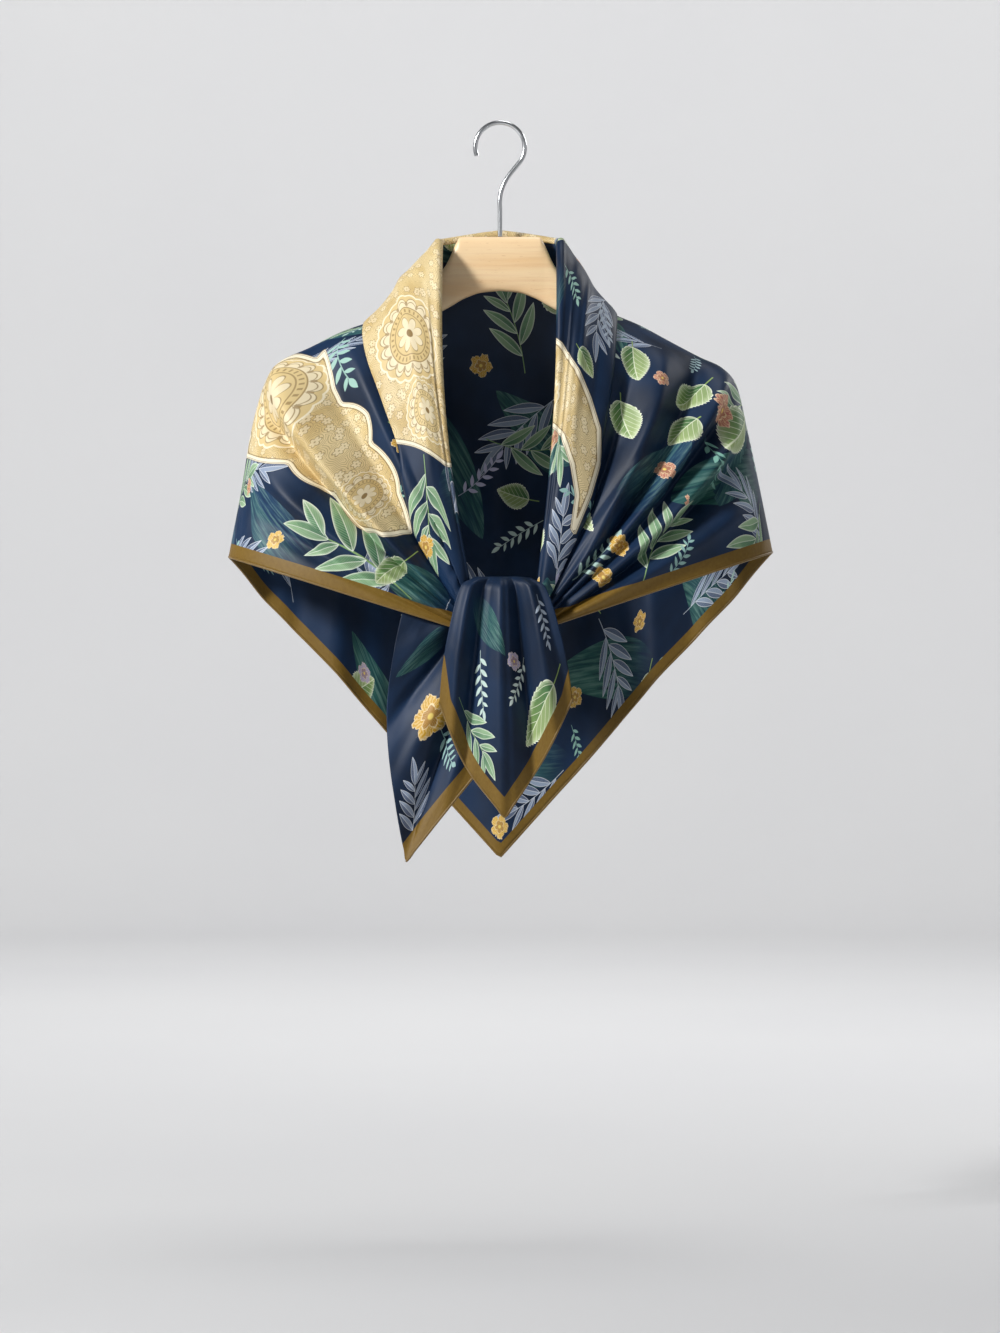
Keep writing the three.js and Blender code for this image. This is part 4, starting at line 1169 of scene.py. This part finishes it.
def hemPiece(name, line, tree, keys):
    mesh = bpy.data.meshes.new(name)
    mesh.from_pydata((line * mm).tolist(), [(i, i + 1) for i in range(len(line) - 1)], [])
    path = bpy.data.objects.new(name + "Path", mesh)
    bpy.context.collection.objects.link(path)
    modifier = path.modifiers.new("rolledHem", "NODES")
    modifier.node_group = tree
    modifier[keys["Roll radius"]] = hem["radius"] * mm
    modifier[keys["Stitch spacing"]] = hem["stitchEvery"] * mm
    modifier[keys["Stitch length"]] = hem["stitchLength"] * mm
    modifier[keys["Stitch radius"]] = hem["stitchRadius"] * mm
    modifier[keys["Seed"]] = hem["seed"]
    graph = bpy.context.evaluated_depsgraph_get()
    made = bpy.data.meshes.new_from_object(path.evaluated_get(graph))
    bpy.data.objects.remove(path)
    made.polygons.foreach_set("use_smooth", [True] * len(made.polygons))
    piece = bpy.data.objects.new(name, made)
    bpy.context.collection.objects.link(piece)
    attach(piece, "root")
    print(name, len(made.polygons), "faces")
    return piece


rolledHem, hemKeys = hemTree(hemMaterial())
hemLines = dict(shawlHem=shapes["shawl"]["grid"][-1], tailFrontHem=shapes["tailFront"]["hem"],
                tailSideHem=shapes["tailSide"]["hem"])
hems = {name: hemPiece(name, line, rolledHem, hemKeys) for name, line in hemLines.items()}
tiePiece()
shawlPiece(shapes["shawl"], hems["shawlHem"])
collarPiece(shapes["collar"])
endPiece("tailFront", shapes["tailFront"], "tail_front", hems["tailFrontHem"])
endPiece("tailSide", shapes["tailSide"], "tail_side", hems["tailSideHem"])
print("cloth made")


# The hanger: a shaped board of pale wood and a wire hook
hanger = dict(around=40, exponent=3.2)
hangerSections = columns("x top bottom thick", (0, -95, -141, 14), (18, -95, -143, 14),
                         (30, -95, -147.5, 14), (34.5, -95.4, -149.8, 14), (38, -102, -152, 14),
                         (45, -118, -156, 15), (60, -138, -164, 17), (85, -158, -178, 20),
                         (115, -172.5, -192, 23), (150, -191, -211, 25), (178, -206, -225, 25),
                         (186, -211.5, -223, 17))


def woodMaterial():
    p = Paint("paleWood")
    place = p.place()
    rings = p.noise(p.spread(place, (6, 40, 60)), 1.0, 3.0)
    grain = p.noise(p.spread(place, (14, 260, 420)), 1.0, 4.0, 0.6)
    flecks = p.noise(p.spread(place, (160, 900, 1100)), 1.0, 2.0)
    stops = [(0.3, hexColour("fbd8a8")), (0.5, hexColour("fddeb0")), (0.7, hexColour("f7cf9a"))]
    colour = p.ramp(rings, stops)
    colour = p.blend(grain.mask(0.45, 0.7) * 0.3, colour, hexColour("e6b989"))
    colour = p.blend(flecks.mask(0.64, 0.74) * 0.35, colour, hexColour("cf9c6b"))
    normal = p.bump(grain, 0.25, 0.0002)
    return p.finish(Base_Color=colour, Roughness=grain * 0.12 + 0.36, Normal=normal,
                    Coat_Weight=0.25, Coat_Roughness=0.2)


def wirePaint():
    p = Paint("platedWire")
    place = p.place()
    brushed = p.noise(p.spread(place, (900, 900, 60)), 1.0, 3.0)
    dull = p.noise(place, 60.0, 3.0)
    colour = p.blend(dull, hexColour("c9ccce"), hexColour("e4e6e8"))
    return p.finish(Base_Color=colour, Metallic=1.0, Roughness=brushed * 0.14 + 0.16,
                    Normal=p.bump(brushed, 0.15, 0.0001))


def hangerPiece():
    x = np.concatenate([np.linspace(-186, -40, 50), np.linspace(-39.5, 39.5, 90), np.linspace(40, 186, 50)])
    x = x[:, None]
    reach = np.abs(x)
    top = np.interp(reach[:, 0], hangerSections["x"], hangerSections["top"])[:, None]
    smoothTop = readAt(hangerSections, "top", reach)
    top = np.where(reach < 50, top, smoothTop)
    low = readAt(hangerSections, "bottom", reach)
    thick = readAt(hangerSections, "thick", reach)
    forward, up = squircle(hanger["around"], hanger["exponent"])
    y = thick / 2 * forward
    grid = np.stack([np.broadcast_to(x, y.shape), y, (top + low) / 2 + (top - low) / 2 * up], axis=-1)
    piece, _ = tube("hangerBoard", grid, woodMaterial())
    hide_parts("hanger_body")


hook = dict(radius=21, wire=2, drop=95, foot=0.3, sides=20)


def hookPiece():
    centre = hook["wire"] - hook["radius"]
    r = hook["radius"]
    path = [(0, hook["foot"] - hook["drop"]), (0, centre - 2.6 * r), (0, centre - 2.05 * r),
            (0.15 * r, centre - 1.5 * r)]
    for degrees in np.arange(-45, 200.5, 12.25):
        turn = math.radians(degrees)
        path.append((r * math.cos(turn), centre + r * math.sin(turn)))
    curve = bpy.data.curves.new("hookWire", "CURVE")
    curve.dimensions = "3D"
    curve.bevel_depth = hook["wire"] * mm
    curve.bevel_resolution = 6
    curve.use_fill_caps = True
    curve.resolution_u = 6
    spline = curve.splines.new("BEZIER")
    spline.bezier_points.add(len(path) - 1)
    for point, (x, z) in zip(spline.bezier_points, path):
        point.co = (x * mm, 0, z * mm)
        point.handle_left_type = point.handle_right_type = "AUTO"
    wire = bpy.data.objects.new("hookWireCurve", curve)
    bpy.context.collection.objects.link(wire)
    graph = bpy.context.evaluated_depsgraph_get()
    mesh = bpy.data.meshes.new_from_object(wire.evaluated_get(graph))
    bpy.data.objects.remove(wire)
    mesh.materials.clear()
    mesh.materials.append(wirePaint())
    mesh.polygons.foreach_set("use_smooth", [True] * len(mesh.polygons))
    piece = bpy.data.objects.new("hookWire", mesh)
    bpy.context.collection.objects.link(piece)
    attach(piece, "root")
    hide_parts("hanger_hook")
    return piece


hangerPiece()
hookPiece()
print("hanger made")


# The room: a pale floor that curves up into a plain wall, soft lights and the camera
room = dict(floor=-0.95, radius=5.2, curve=1.2, height=3.4, around=96)
camera = dict(distance=3.46, height=-0.46, lens=110, sensor=36)
lights = {
    "key": dict(place=(-2.5, -1.9, 1.15), target=(0, 0, -0.32), size=(0.5, 0.6), power=125),
    "fill": dict(place=(2.4, -2.2, 0.1), target=(0, 0, -0.35), size=(1.0, 1.4), power=2.5),
    "top": dict(place=(0.3, 0.1, 1.8), target=(0, 0, -0.3), size=(1.0, 0.8), power=12),
    "back": dict(place=(1.9, 1.3, 0.9), target=(0, 0, -0.35), size=(0.8, 0.8), power=18),
    "wall": dict(place=(0, 1.6, 2.2), target=(0, 5.2, 0), size=(3.0, 0.8), power=110),
}
sky = dict(colour=(0.9, 0.93, 1, 1), strength=0.1)


def roomPiece():
    corner = room["radius"] - room["curve"]
    turn = np.linspace(0, math.pi / 2, 20)
    profile = [(0.01, 0.0)] + [(corner + room["curve"] * math.sin(t), room["curve"] * (1 - math.cos(t)))
                               for t in turn] + [(room["radius"], room["height"])]
    around = room["around"]
    angle = np.linspace(0, 2 * math.pi, around, endpoint=False)
    points = [(r * math.cos(t), r * math.sin(t), z + room["floor"]) for r, z in profile for t in angle]
    faces = [(i * around + j, i * around + (j + 1) % around, (i + 1) * around + (j + 1) % around,
              (i + 1) * around + j) for i in range(len(profile) - 1) for j in range(around)]
    mesh = bpy.data.meshes.new("room")
    mesh.from_pydata(points, [], [tuple(reversed(face)) for face in faces] + [tuple(range(around))])
    mesh.polygons.foreach_set("use_smooth", [True] * len(mesh.polygons))
    p = Paint("paleRoom")
    soft = p.noise(p.place(), 1.5, 2.0)
    colour = p.blend(soft, (0.63, 0.63, 0.64), (0.67, 0.67, 0.67))
    mesh.materials.append(p.finish(Base_Color=colour, Roughness=0.85))
    piece = bpy.data.objects.new("room", mesh)
    bpy.context.collection.objects.link(piece)


def softLight(name, place, target, size, power):
    light = bpy.data.lights.new(name, "AREA")
    light.shape = "RECTANGLE"
    light.size, light.size_y = size
    light.energy = power
    lamp = bpy.data.objects.new(name, light)
    lamp.location = place
    lamp.rotation_euler = (Vector(target) - Vector(place)).to_track_quat("-Z", "Y").to_euler()
    bpy.context.collection.objects.link(lamp)


roomPiece()
for name, light in lights.items():
    softLight(name, **light)
world = bpy.data.worlds.new("studio")
world.use_nodes = True
world.node_tree.nodes["Background"].inputs["Color"].default_value = sky["colour"]
world.node_tree.nodes["Background"].inputs["Strength"].default_value = sky["strength"]
bpy.context.scene.world = world
bpy.context.scene.view_settings.view_transform = "Standard"
view = bpy.data.cameras.new("camera")
view.lens = camera["lens"]
view.sensor_width = camera["sensor"]
cameraObject = bpy.data.objects.new("camera", view)
cameraObject.location = (0, -camera["distance"], camera["height"])
cameraObject.rotation_euler = (math.pi / 2, 0, 0)
bpy.context.collection.objects.link(cameraObject)
bpy.context.scene.camera = cameraObject
print("room, lights and camera made")
